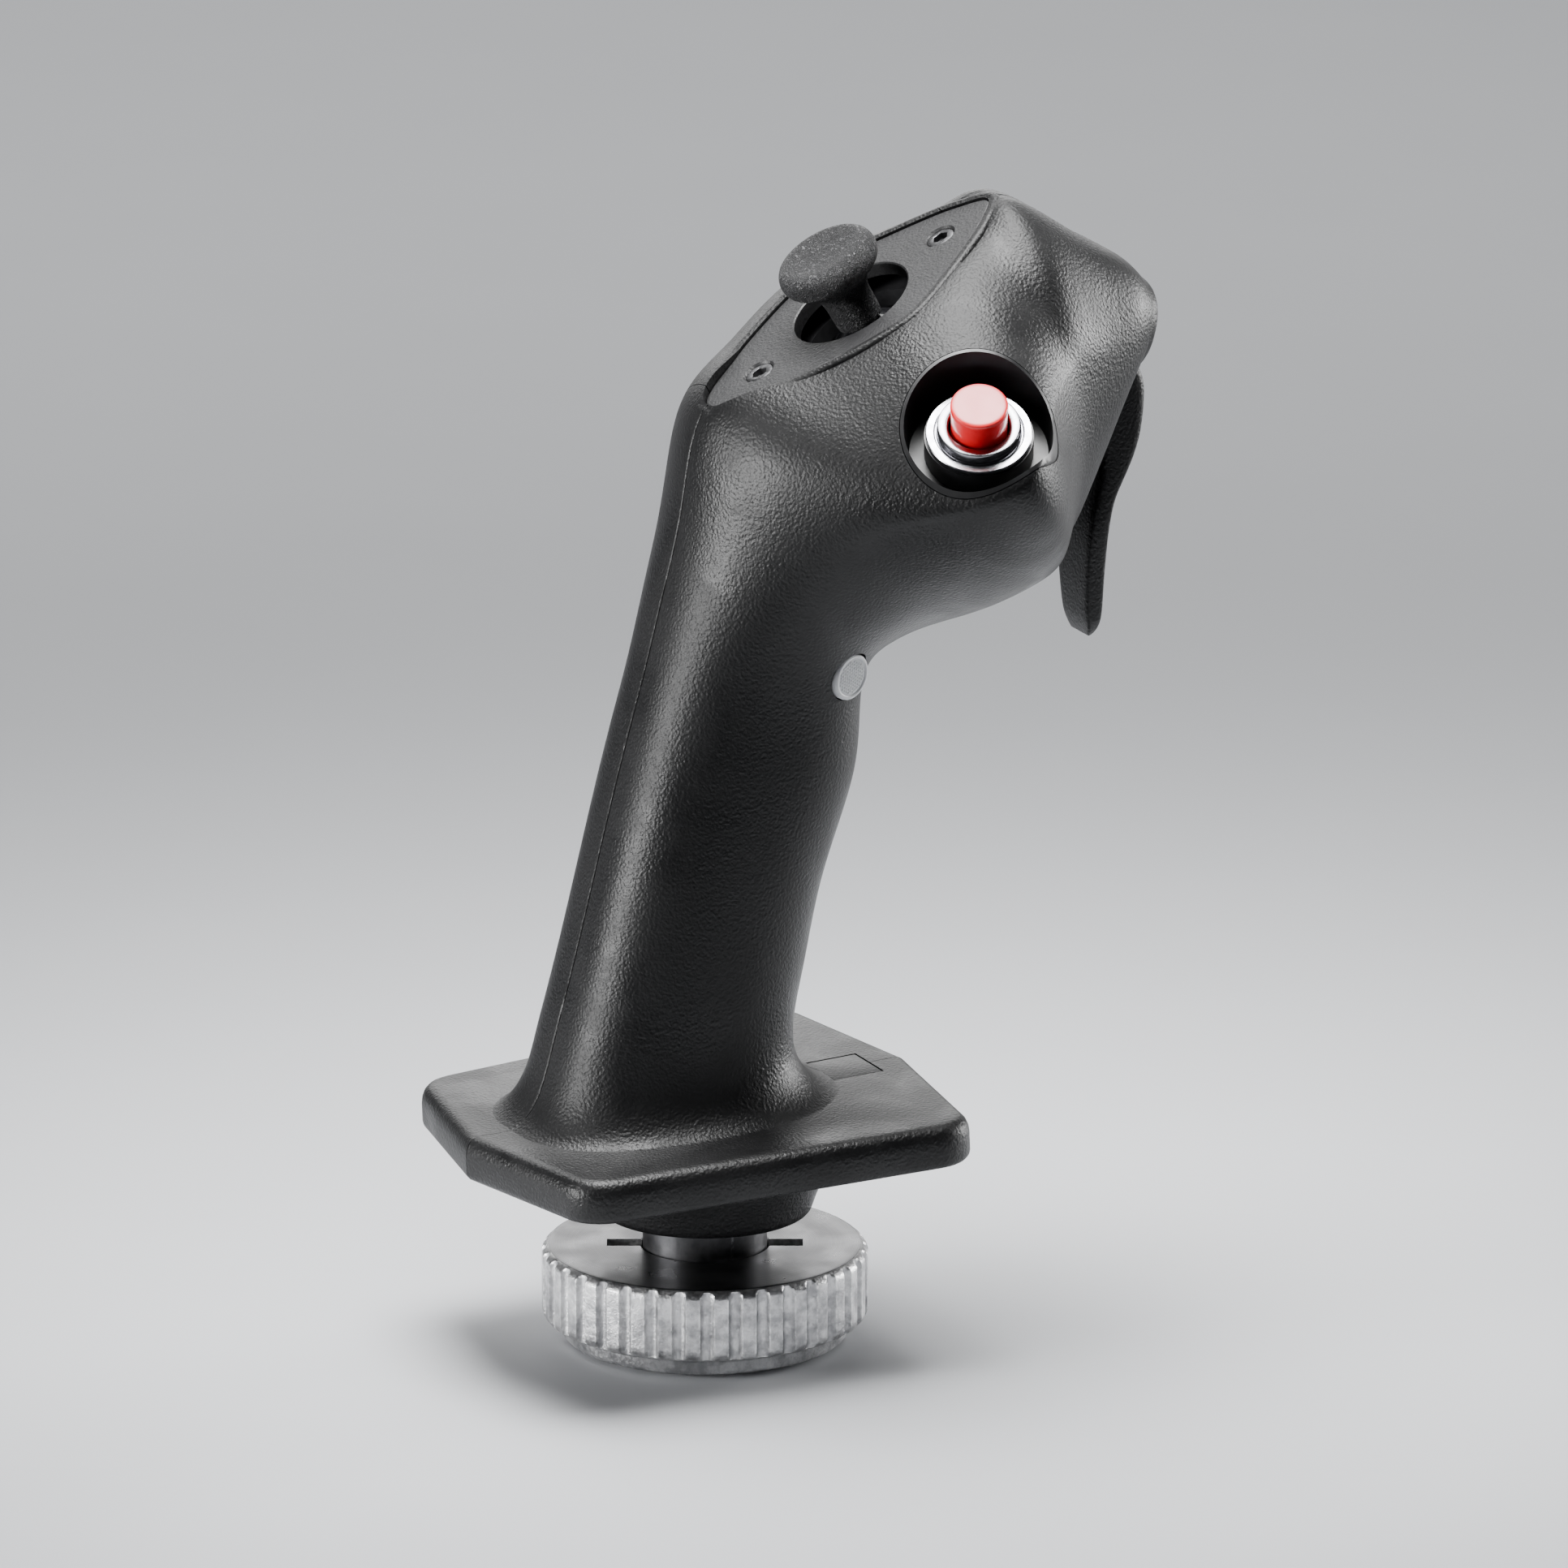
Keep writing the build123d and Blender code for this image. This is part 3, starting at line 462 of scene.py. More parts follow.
# ---- Control plate and thumbstick ----------------------------------------------------
def make_plate():
    """Control plate with its well and countersinks."""
    loops = [(plate_loop(0), -2.0), (plate_loop(0), -0.16), (plate_loop(-0.06), -0.05),
             (plate_loop(-0.18), 0.02), (plate_loop(-0.4), 0.03)]
    plate = stacked("plate", PLATE, loops)
    well = [(0, -4), (WELL_R, -4), (WELL_R, -0.45), (WELL_R + 0.1, -0.12), (WELL_R + 0.35, 0.06),
            (WELL_R + 0.35, 2), (0, 2)]
    combine(plate, lathe("well", STICK, well, 128))
    for place in PLATE_SCREWS:
        seat = [(0, -4), (1.55, -4), (1.55, -1.3), (2.12, -1.25), (2.12, -0.3), (2.45, 0.06), (2.45, 2),
                (0, 2)]
        combine(plate, lathe("seat", PLATE @ Matrix.Translation((place, 0, 0)), seat, 64))
    tidy_mesh(plate, 30.0)
    return plate


def make_plate_screws():
    """The two hexagon-socket screws, placed by a node tree."""
    head = [(0, -8.5), (1.2, -8.5), (1.5, -8.1), (1.5, -1.25), (2.02, -1.2), (2.08, -0.9), (2.08, -0.42),
            (1.95, -0.27), (1.75, -0.22), (0, -0.22)]
    screw = lathe("screw", Matrix.Identity(4), head, 48)
    key = [(1.2 * cos(k * pi / 3), 1.2 * sin(k * pi / 3)) for k in range(6)]
    combine(screw, prism("key", Matrix.Identity(4), key, -1.1, 1))
    round_edges(screw, 0.05, 2)
    tidy_mesh(screw, 30.0)
    places = [(PLATE @ Matrix.Translation((s, 0, 0))).translation * MM for s in PLATE_SCREWS]
    return scattered("plate_screw_pair", screw, places, PLATE.to_euler(), MATERIALS["screw"])


def scattered(name, sample, places, turn, material):
    """Copies a sample to each place with a node tree, as one mesh."""
    carrier = bpy.data.meshes.new(name)
    carrier.from_pydata([tuple(p) for p in places], [], [])
    piece = bpy.data.objects.new(name, carrier)
    bpy.context.collection.objects.link(piece)
    tree = bpy.data.node_groups.new(name + "_nodes", "GeometryNodeTree")
    face = tree.interface
    face.new_socket("Points", in_out="INPUT", socket_type="NodeSocketGeometry")
    sample_in = face.new_socket("Sample", in_out="INPUT", socket_type="NodeSocketObject")
    turn_in = face.new_socket("Turn", in_out="INPUT", socket_type="NodeSocketRotation")
    face.new_socket("Pieces", in_out="OUTPUT", socket_type="NodeSocketGeometry")
    nodes, links = tree.nodes, tree.links
    start, end = nodes.new("NodeGroupInput"), nodes.new("NodeGroupOutput")
    info = nodes.new("GeometryNodeObjectInfo")
    spread = nodes.new("GeometryNodeInstanceOnPoints")
    real = nodes.new("GeometryNodeRealizeInstances")
    paint = nodes.new("GeometryNodeSetMaterial")
    paint.inputs["Material"].default_value = material
    links.new(start.outputs["Sample"], info.inputs["Object"])
    links.new(start.outputs["Points"], spread.inputs["Points"])
    links.new(info.outputs["Geometry"], spread.inputs["Instance"])
    links.new(start.outputs["Turn"], spread.inputs["Rotation"])
    links.new(spread.outputs["Instances"], real.inputs["Geometry"])
    links.new(real.outputs["Geometry"], paint.inputs["Geometry"])
    links.new(paint.outputs["Geometry"], end.inputs["Pieces"])
    maker = piece.modifiers.new("scatter", "NODES")
    maker.node_group = tree
    maker[sample_in.identifier] = sample
    maker[turn_in.identifier] = turn
    bake(piece)
    bpy.data.objects.remove(sample)
    return piece


def make_stick_cap():
    """Thumbstick cap: dished top, soft rim and a stem that flares into it."""
    profile = [(2.5, -3.0), (3.25, -3.0), (3.4, -2.8), (3.4, 0.4), (3.5, 1.6), (3.85, 2.7), (4.5, 3.6),
               (5.4, 4.35), (6.3, 4.95), (6.95, 5.5), (7.3, 6.1), (7.46, 6.8), (7.42, 7.5), (7.2, 8.15),
               (6.85, 8.65), (6.4, 8.98), (5.9, 9.12), (5.3, 9.08), (4.6, 8.92), (3.6, 8.7), (2.4, 8.52),
               (1.2, 8.42), (0, 8.4), (0, 6.9), (2.5, 6.9)]
    cap = lathe("stick_cap_skin", STICK, profile, 128, 60)
    smooth = cap.modifiers.new("smooth", "SUBSURF")
    smooth.levels = smooth.render_levels = 1
    bake(cap)
    tidy_mesh(cap, 60.0)
    return cap


def make_stick_dome():
    """Polished dome under the thumbstick."""
    outer = [(7.9 * sin(a), -11 + 7.9 * cos(a)) for a in np.linspace(radians(18.1), radians(56.6), 24)]
    inner = [(6.9 * sin(a), -11 + 6.9 * cos(a)) for a in np.linspace(radians(52.5), radians(20.8), 16)]
    return lathe("stick_dome_skin", STICK, outer + inner, 96)


# ---- Red button ---------------------------------------------------------------------
def make_cup(shell_space):
    """The button's cup: its rim follows the shoulder and catches the light."""
    profile = [(0, -8.0), (CUP_R - 0.4, -8.0), (CUP_R, -7.6), (CUP_R, 9), (CUP_R - 0.5, 9),
               (CUP_R - 0.5, -2.0), (CUP_R - 0.95, -6.6), (CUP_R - 1.3, -7.0), (0, -7.0)]
    cup = lathe("cup_skin", BUTTON, profile, 160)
    combine(cup, shell_space, "INTERSECT", keep=True)
    skirt = [(4.6, -13.3), (6.0, -13.3), (6.0, -7.9), (4.6, -7.9)]
    combine(cup, lathe("skirt", BUTTON, skirt, 64), "UNION")
    combine(cup, lathe("throat", BUTTON, [(0, -8.5), (2.35, -8.5), (2.35, -6), (0, -6)], 48))
    tidy_mesh(cup, 40.0)
    return cup


def make_collar():
    """Plated collar: a flat flange, a groove and a raised ring."""
    profile = [(4.3, -3.4), (7.25, -3.4), (7.4, -3.25), (7.4, -2.78), (7.28, -2.62), (6.35, -2.6),
               (6.2, -2.72), (6.12, -2.9), (5.98, -2.9), (5.86, -2.7), (5.85, -1.35), (5.78, -1.18),
               (5.6, -1.1), (4.75, -1.1), (4.5, -1.2), (4.3, -1.5)]
    return lathe("collar_skin", BUTTON, profile, 128, 30)


def make_red_cap():
    """Red push cap, slightly wider towards its top, with a soft edge."""
    profile = [(0, -7.8), (2.0, -7.8), (2.0, -3.7), (3.9, -3.7), (3.92, -3.5), (3.92, 1.2), (3.98, 2.0),
               (4.05, 2.55), (4.03, 2.8), (3.92, 2.98), (3.7, 3.08), (3.3, 3.1), (1.8, 3.06), (0, 3.04)]
    return lathe("red_cap_skin", BUTTON, profile, 128, 32)


# ---- Pale button ----------------------------------------------------------------------
def make_pale_button():
    """Pale button with a smooth border round a field of fine dots."""
    profile = [(0, -4.4), (4.05, -4.4), (4.1, -4.3), (4.1, -3.6), (3.4, -3.5), (3.4, 0.2), (3.34, 0.45),
               (3.18, 0.62), (2.95, 0.68), (2.75, 0.62), (2.66, 0.5), (1.8, 0.56), (0, 0.6)]
    return lathe("pale_skin", PALE, profile, 96, 40)


def make_pale_dots():
    """Fine dots of the pale button, placed by a node tree on a hexagonal grid."""
    dot = lathe("dot", Matrix.Identity(4), [(0, -0.1), (0.2, -0.1), (0.18, 0.04), (0.1, 0.09), (0, 0.1)],
                10, 80)
    pitch = 0.5
    places = []
    for row in range(-6, 7):
        for column in range(-6, 7):
            x = (column + 0.5 * (row % 2)) * pitch
            y = row * pitch * sqrt(3) / 2
            if hypot(x, y) < 2.5:
                places.append((PALE @ Vector((x, y, 0.6 - 0.012 * (x * x + y * y)))) * MM)
    return scattered("pale_dots", dot, places, PALE.to_euler(), MATERIALS["pale_grey"])


# ---- Trigger ----------------------------------------------------------------------------
TRIGGER_FRONT = [(64.4, 136.2), (66.1, 133.4), (66.6, 130.5), (66.3, 127.0), (65.4, 123.0), (63.5, 118.8),
                 (61.9, 115.5), (61.1, 111.8), (60.8, 108.5), (60.6, 104.8), (60.5, 101.0), (60.4, 98.8),
                 (60.1, 97.0), (59.5, 95.8), (58.9, 95.25)]
TRIGGER_BACK = [(57.2, 134.0), (58.2, 130.6), (59.0, 126.0), (59.5, 122.5), (59.4, 119.5), (58.8, 116.6),
                (58.1, 113.5), (57.6, 110.0), (57.4, 106.3), (57.4, 103.0), (57.6, 99.8), (57.8, 98.0),
                (58.1, 96.7), (58.4, 95.8), (58.6, 95.35)]


def make_trigger():
    """Curved trigger blade with rounded sides and a tapered tip."""
    front, back = np.array(TRIGGER_FRONT), np.array(TRIGGER_BACK)
    dense = np.linspace(0, 1, 60)
    own = np.linspace(0, 1, len(front))
    front = natural_spline(own, front, dense)
    back = natural_spline(own, back, dense)
    points, faces = [], []
    ring = 36
    for (fy, fz), (by, bz) in zip(front, back):
        low = min(fz, bz)
        half = 5.5 if low > 112 else 5.5 - 1.7 * ((112 - low) / 17) ** 1.4
        if low < 98:
            half -= 1.2 * ((98 - low) / 2.8) ** 2
        for k in range(ring):
            turn = 2 * pi * k / ring
            side = abs(cos(turn)) ** 0.28 * (1 if cos(turn) > 0 else -1)
            depth = abs(sin(turn)) ** 0.42 * (1 if sin(turn) > 0 else -1)
            mix = (depth + 1) / 2
            points.append((half * side, by + (fy - by) * mix, bz + (fz - bz) * mix))
    rows = len(dense)
    for i in range(rows - 1):
        for k in range(ring):
            n = (k + 1) % ring
            faces.append((i * ring + k, i * ring + n, (i + 1) * ring + n, (i + 1) * ring + k))
    faces.append(tuple(range(ring)))
    faces.append(tuple(range((rows - 1) * ring, rows * ring)))
    blade = new_piece("trigger_blade", points, faces, 60)
    hub = frame_matrix((0, 58.7, 139.5), (1, 0, 0))
    combine(blade, lathe("hub", hub, [(0, -3), (3.2, -3), (3.2, 3), (0, 3)], 64), "UNION")
    combine(blade, block("arm", (-3, 3), (53.5, 59.5), (136.4, 138.2)), "UNION")
    combine(blade, block("web", (-3, 3), (57.4, 62.6), (133.5, 138.6)), "UNION")
    combine(blade, lathe("bore", hub, [(0, -9), (1.55, -9), (1.55, 9), (0, 9)], 48))
    tidy_mesh(blade, 40.0)
    return blade


# ---- Foot boss, neck and ring nut -----------------------------------------------------------
def make_boss():
    """Flared boss between the hand rest and the neck."""
    profile = [(8.8, 18.4), (14.3, 18.4), (14.75, 18.5), (15.05, 18.85), (15.3, 19.5), (15.9, 21.2),
               (16.8, 23.3), (17.7, 24.9), (18.1, 26.0), (18.2, 27.0), (18.2, 31.35), (20.6, 31.35),
               (20.6, 33.75), (8.8, 33.75)]
    return lathe("boss_skin", Matrix.Identity(4), profile, 128, 40)


def make_hatch():
    """Small hatch in the front of the hand rest."""
    along = (HATCH_SPAN[0] - REST_BACK[0], HATCH_SPAN[1] - REST_BACK[0])
    hatch = block("hatch_skin", (-HATCH_HALF, HATCH_HALF), along, (REST_THICK - 1.4, REST_THICK - 0.02), REST)
    round_edges(hatch, 0.2, 2)
    tidy_mesh(hatch, 40.0)
    return hatch


def make_ring_nut():
    """Grooved ring nut: cast flats, round-bottomed grooves and a turned top."""
    per_groove = 20
    steps = GROOVES * per_groove
    side = [(17.5, 0), (19.35, 0), (19.75, 0.12), (20.05, 0.4), (20.2, 0.8), (20.2, 1.9), (20.35, 2.25),
            (20.8, 2.55), (22.0, 2.8), (22.5, 3.05), (22.85, 3.45), (23.0, 4.0)]
    side += [(23.0, z) for z in np.linspace(4.6, 11.5, 10)]
    side += [(23.0, 12.0), (22.93, 12.3), (22.7, 12.62), (22.35, 12.95), (22.05, 13.15), (21.9, NUT_TOP),
             (21.3, NUT_TOP)]
    radii = [21.0, 17.0, 13.0, 9.4]
    side += [(r, 13.2) for r in radii]
    side += [(NUT_HOLE_R + 0.12, 13.15), (NUT_HOLE_R, 13.0), (NUT_HOLE_R, 10.0), (18.2, 10.0),
             (18.2, 4.2), (17.5, 4.2)]
    points, faces = [], []
    for radius, height in side:
        for i in range(steps):
            turn = 2 * pi * i / steps
            place = (i % per_groove) / per_groove - 0.5
            aside = place * 2 * pi / GROOVES * NUT_R
            r = radius
            if radius > 20.9 and abs(aside) < GROOVE_R and 2.7 < height:
                r = min(radius, NUT_R + 0.22 - sqrt(GROOVE_R ** 2 - aside ** 2))
            points.append((r * cos(turn), r * sin(turn), height))
    rows = len(side)
    for j in range(rows):
        k = (j + 1) % rows
        for i in range(steps):
            n = (i + 1) % steps
            faces.append((j * steps + i, j * steps + n, k * steps + n, k * steps + i))
    nut = new_piece("nut_skin", points, faces, 38)
    turned = Matrix.Rotation(NUT_KEY_TURN, 4, "Z")
    combine(nut, block("key", (-13.8, 13.8), (-1.6, 1.6), (9, 14), turned))
    tidy_mesh(nut, 38.0)
    nut.data.materials.append(MATERIALS["nut_side"])
    nut.data.materials.append(MATERIALS["nut_top"])
    for face in nut.data.polygons:
        centre = face.center / MM
        if centre.z > 13.16 and face.normal.z > 0.9:
            face.material_index = 1
    return nut


def make_neck():
    """Black neck with a wide foot that the nut draws down."""
    profile = [(6.5, 6.7), (15.9, 6.7), (16.2, 7.0), (16.2, 9.5), (16.0, 9.7), (8.75, 9.7), (8.75, 36.5),
               (6.5, 36.5)]
    neck = lathe("neck_skin", Matrix.Identity(4), profile, 128)
    combine(neck, lathe("pin_hole", Matrix.Translation((0, -12.4, 0)), [(0, 0), (1.3, 0), (1.3, 12),
                                                                        (0, 12)], 32))
    tidy_mesh(neck, 35.0)
    return neck


# ---- Shader groups ----------------------------------------------------------------------
def shader_group(name, inputs, outputs):
    """An empty shader node group with named sockets."""
    group = bpy.data.node_groups.new(name, "ShaderNodeTree")
    for label, value in inputs:
        socket = group.interface.new_socket(label, in_out="INPUT", socket_type="NodeSocketFloat")
        socket.default_value = value
    for label, kind in outputs:
        group.interface.new_socket(label, in_out="OUTPUT", socket_type=kind)
    return group, group.nodes.new("NodeGroupInput"), group.nodes.new("NodeGroupOutput")


def maths(tree, operation, first, second):
    """A Math node; first and second are sockets or numbers."""
    node = tree.nodes.new("ShaderNodeMath")
    node.operation = operation
    for socket, value in zip(node.inputs, (first, second)):
        if isinstance(value, (int, float)):
            socket.default_value = value
        else:
            tree.links.new(value, socket)
    return node.outputs[0]


def noise(tree, place, scale, detail=2.0, rough=0.5, warp=0.0):
    """A Noise texture on a place socket."""
    node = tree.nodes.new("ShaderNodeTexNoise")
    node.inputs["Detail"].default_value = detail
    node.inputs["Roughness"].default_value = rough
    node.inputs["Distortion"].default_value = warp
    if isinstance(scale, (int, float)):
        node.inputs["Scale"].default_value = scale
    else:
        tree.links.new(scale, node.inputs["Scale"])
    tree.links.new(place, node.inputs["Vector"])
    return node.outputs["Fac"]


def remap(tree, value, low, high, to_low=0.0, to_high=1.0):
    node = tree.nodes.new("ShaderNodeMapRange")
    node.interpolation_type = "SMOOTHSTEP"
    for label, number in (("From Min", low), ("From Max", high), ("To Min", to_low), ("To Max", to_high)):
        node.inputs[label].default_value = number
    tree.links.new(value, node.inputs["Value"])
    return node.outputs["Result"]


def make_grain_group():
    """Moulded grain: fine pebbles with a slow drift; gives a height and a drift mask."""
    group, start, end = shader_group("moulded_grain", [("Grains per metre", 3000.0), ("Drift", 0.5)],
                                     [("Height", "NodeSocketFloat"), ("Mask", "NodeSocketFloat")])
    place = group.nodes.new("ShaderNodeTexCoord").outputs["Object"]
    fine = noise(group, place, start.outputs["Grains per metre"], 1.5, 0.6)
    cells = group.nodes.new("ShaderNodeTexVoronoi")
    cells.feature = "SMOOTH_F1"
    group.links.new(place, cells.inputs["Vector"])
    group.links.new(start.outputs["Grains per metre"], cells.inputs["Scale"])
    pebbles = maths(group, "MULTIPLY", cells.outputs["Distance"], 0.8)
    height = maths(group, "ADD", fine, pebbles)
    slow = noise(group, place, 60.0, 3.0, 0.6)
    mask = maths(group, "MULTIPLY", slow, start.outputs["Drift"])
    group.links.new(height, end.inputs["Height"])
    group.links.new(mask, end.inputs["Mask"])
    return group


def make_wear_group():
    """Edge wear: a mask on convex edges, broken up by noise."""
    group, start, end = shader_group("edge_wear", [("Amount", 0.5), ("Breakup", 900.0)],
                                     [("Mask", "NodeSocketFloat")])
    place = group.nodes.new("ShaderNodeTexCoord").outputs["Object"]
    edge = remap(group, group.nodes.new("ShaderNodeNewGeometry").outputs["Pointiness"], 0.51, 0.56)
    broken = remap(group, noise(group, place, start.outputs["Breakup"], 4.0, 0.65), 0.42, 0.62)
    mask = maths(group, "MULTIPLY", maths(group, "MULTIPLY", edge, broken), start.outputs["Amount"])
    group.links.new(mask, end.inputs["Mask"])
    return group


def make_smudge_group():
    """Handling marks: soft patches that shift the gloss."""
    group, start, end = shader_group("handling_marks", [("Scale", 90.0)], [("Mask", "NodeSocketFloat")])
    place = group.nodes.new("ShaderNodeTexCoord").outputs["Object"]
    soft = noise(group, place, start.outputs["Scale"], 5.0, 0.55, 0.6)
    group.links.new(remap(group, soft, 0.35, 0.7), end.inputs["Mask"])
    return group


GROUPS = {}
MATERIALS = {}


def use_group(tree, name, **values):
    node = tree.nodes.new("ShaderNodeGroup")
    node.node_tree = GROUPS[name]
    for label, value in values.items():
        node.inputs[label.replace("_", " ")].default_value = value
    return node.outputs


def blend_colours(tree, factor, first, second):
    """Mix two colours by a factor."""
    node = tree.nodes.new("ShaderNodeMix")
    node.data_type = "RGBA"
    tree.links.new(factor, node.inputs["Factor"])
    node.inputs["A"].default_value = (*first, 1)
    node.inputs["B"].default_value = (*second, 1)
    return node.outputs["Result"]


def bump(tree, height, strength, distance, into=None):
    """Tilt the normals by a height."""
    node = tree.nodes.new("ShaderNodeBump")
    node.inputs["Strength"].default_value = strength
    node.inputs["Distance"].default_value = distance
    tree.links.new(height, node.inputs["Height"])
    if into is not None:
        tree.links.new(into, node.inputs["Normal"])
    return node.outputs["Normal"]


def new_material(name, **shader_values):
    """A material with one Principled shader and its plain values set."""
    material = bpy.data.materials.new(name)
    material.use_nodes = True
    tree = material.node_tree
    shader = tree.nodes["Principled BSDF"]
    for label, value in shader_values.items():
        shader.inputs[label.replace("_", " ")].default_value = value
    MATERIALS[name] = material
    return tree, shader


def plastic_material(name, dark, light, rough, grains=3000.0, strength=0.35, sheen=0.5, depth=0.00006):
    """Moulded plastic: grain bump, slow colour drift, gloss patches and worn edges."""
    tree, shader = new_material(name, Specular_IOR_Level=sheen)
    grain = use_group(tree, "moulded_grain", Grains_per_metre=grains, Drift=0.9)
    marks = use_group(tree, "handling_marks", Scale=70.0)
    wear = use_group(tree, "edge_wear", Amount=0.5, Breakup=700.0)
    drift = maths(tree, "ADD", grain["Mask"], wear["Mask"])
    tree.links.new(blend_colours(tree, drift, dark, light), shader.inputs["Base Color"])
    gloss = remap(tree, marks["Mask"], 0.0, 1.0, rough + 0.05, rough - 0.05)
    tree.links.new(gloss, shader.inputs["Roughness"])
    tree.links.new(bump(tree, grain["Height"], strength, depth), shader.inputs["Normal"])
    return tree, shader


def leather_material(name):
    """Rubber with a wavy leather grain, as on the thumbstick cap, and painted shade that darkens its sunken
    crease lines.
    """
    tree, shader = new_material(name, Specular_IOR_Level=0.5)
    place = tree.nodes.new("ShaderNodeTexCoord").outputs["Object"]
    stretch = tree.nodes.new("ShaderNodeMapping")
    stretch.inputs["Rotation"].default_value = (0.3, 0.5, 0.9)
    stretch.inputs["Scale"].default_value = (1.0, 2.3, 1.4)
    tree.links.new(place, stretch.inputs["Vector"])
    folds = noise(tree, stretch.outputs["Vector"], 900.0, 2.5, 0.55, 1.6)
    ridges = maths(tree, "ABSOLUTE", maths(tree, "SUBTRACT", folds, 0.5), 0.0)
    crease_mask_and_shade = remap(tree, ridges, 0.0, 0.16)
    fine = noise(tree, place, 6000.0, 1.0)
    height = maths(tree, "ADD", crease_mask_and_shade, maths(tree, "MULTIPLY", fine, 0.25))
    # Painted shade: the sunken crease lines get the dark colour and the raised grain between them the lighter
    # one.
    tree.links.new(blend_colours(tree, crease_mask_and_shade, (0.008, 0.008, 0.009), (0.05, 0.05, 0.052)),
                   shader.inputs["Base Color"])
    tree.links.new(remap(tree, crease_mask_and_shade, 0.0, 1.0, 0.62, 0.4), shader.inputs["Roughness"])
    tree.links.new(bump(tree, height, 1.0, 0.00035), shader.inputs["Normal"])


def nut_side_material(name):
    """Cast aluminium: pitted flats with brighter worn ridges."""
    tree, shader = new_material(name, Metallic=1.0)
    place = tree.nodes.new("ShaderNodeTexCoord").outputs["Object"]
    pits = noise(tree, place, 2200.0, 3.0, 0.6)
    broad = noise(tree, place, 420.0, 3.0, 0.6)
    wear = use_group(tree, "edge_wear", Amount=1.0, Breakup=600.0)
    tone = maths(tree, "ADD", remap(tree, broad, 0.3, 0.7, 0.0, 0.75), wear["Mask"])
    tree.links.new(blend_colours(tree, tone, (0.36, 0.36, 0.37), (0.84, 0.84, 0.84)),
                   shader.inputs["Base Color"])
    tree.links.new(remap(tree, pits, 0.3, 0.7, 0.52, 0.3), shader.inputs["Roughness"])
    height = maths(tree, "ADD", pits, maths(tree, "MULTIPLY", broad, 1.4))
    tree.links.new(bump(tree, height, 0.6, 0.00012), shader.inputs["Normal"])


def nut_top_material(name):
    """Turned aluminium: fine rings round the nut's axis."""
    tree, shader = new_material(name, Metallic=1.0)
    place = tree.nodes.new("ShaderNodeTexCoord").outputs["Object"]
    flat = tree.nodes.new("ShaderNodeMapping")
    flat.inputs["Scale"].default_value = (1, 1, 0)
    tree.links.new(place, flat.inputs["Vector"])
    reach = tree.nodes.new("ShaderNodeVectorMath")
    reach.operation = "LENGTH"
    tree.links.new(flat.outputs["Vector"], reach.inputs[0])
    rings = maths(tree, "SINE", maths(tree, "MULTIPLY", reach.outputs["Value"], 26000.0), 0.0)
    stray = tree.nodes.new("ShaderNodeCombineXYZ")
    tree.links.new(reach.outputs["Value"], stray.inputs["X"])
    uneven = noise(tree, stray.outputs["Vector"], 3000.0, 3.0, 0.7)
    height = maths(tree, "ADD", maths(tree, "MULTIPLY", rings, 0.35), uneven)
    patches = noise(tree, place, 160.0, 3.0)
    tree.links.new(blend_colours(tree, uneven, (0.045, 0.045, 0.048), (0.12, 0.12, 0.124)),
                   shader.inputs["Base Color"])
    tree.links.new(remap(tree, patches, 0.3, 0.7, 0.38, 0.26), shader.inputs["Roughness"])
    tree.links.new(bump(tree, height, 0.35, 0.00004), shader.inputs["Normal"])


def metal_material(name, dark, bright, rough, grain=1500.0, strength=0.15, **extra):
    """Plain metal with fine marks and worn edges."""
    tree, shader = new_material(name, Metallic=1.0, **extra)
    place = tree.nodes.new("ShaderNodeTexCoord").outputs["Object"]
    fine = noise(tree, place, grain, 3.0, 0.6)
    wear = use_group(tree, "edge_wear", Amount=0.8, Breakup=900.0)
    marks = use_group(tree, "handling_marks", Scale=200.0)
    tone = maths(tree, "ADD", maths(tree, "MULTIPLY", fine, 0.5), wear["Mask"])
    tree.links.new(blend_colours(tree, tone, dark, bright), shader.inputs["Base Color"])
    tree.links.new(remap(tree, marks["Mask"], 0.0, 1.0, rough * 1.25, rough * 0.8),
                   shader.inputs["Roughness"])
    tree.links.new(bump(tree, fine, strength, 0.00003), shader.inputs["Normal"])


def gloss_material(name, dark, light, rough, coat=0.6):
    """Polished plastic with a clear skin and faint handling marks."""
    tree, shader = new_material(name, Coat_Weight=coat, Coat_Roughness=0.06)
    place = tree.nodes.new("ShaderNodeTexCoord").outputs["Object"]
    marks = use_group(tree, "handling_marks", Scale=240.0)
    wear = use_group(tree, "edge_wear", Amount=0.35, Breakup=900.0)
    tone = maths(tree, "ADD", maths(tree, "MULTIPLY", marks["Mask"], 0.35), wear["Mask"])
    tree.links.new(blend_colours(tree, tone, dark, light), shader.inputs["Base Color"])
    tree.links.new(remap(tree, marks["Mask"], 0.0, 1.0, rough + 0.06, rough), shader.inputs["Roughness"])
    ripple = noise(tree, place, 500.0, 2.0)
    tree.links.new(bump(tree, ripple, 0.06, 0.00004), shader.inputs["Normal"])


def board_material(name):
    """Lacquered circuit board with faint copper tracks."""
    tree, shader = new_material(name, Coat_Weight=0.5)
    place = tree.nodes.new("ShaderNodeTexCoord").outputs["Object"]
    tracks = tree.nodes.new("ShaderNodeTexBrick")
    tracks.inputs["Scale"].default_value = 260.0
    tree.links.new(place, tracks.inputs["Vector"])
    tree.links.new(blend_colours(tree, tracks.outputs["Fac"], (0.01, 0.12, 0.05), (0.03, 0.2, 0.09)),
                   shader.inputs["Base Color"])
    tree.links.new(remap(tree, noise(tree, place, 900.0), 0.3, 0.7, 0.45, 0.3), shader.inputs["Roughness"])


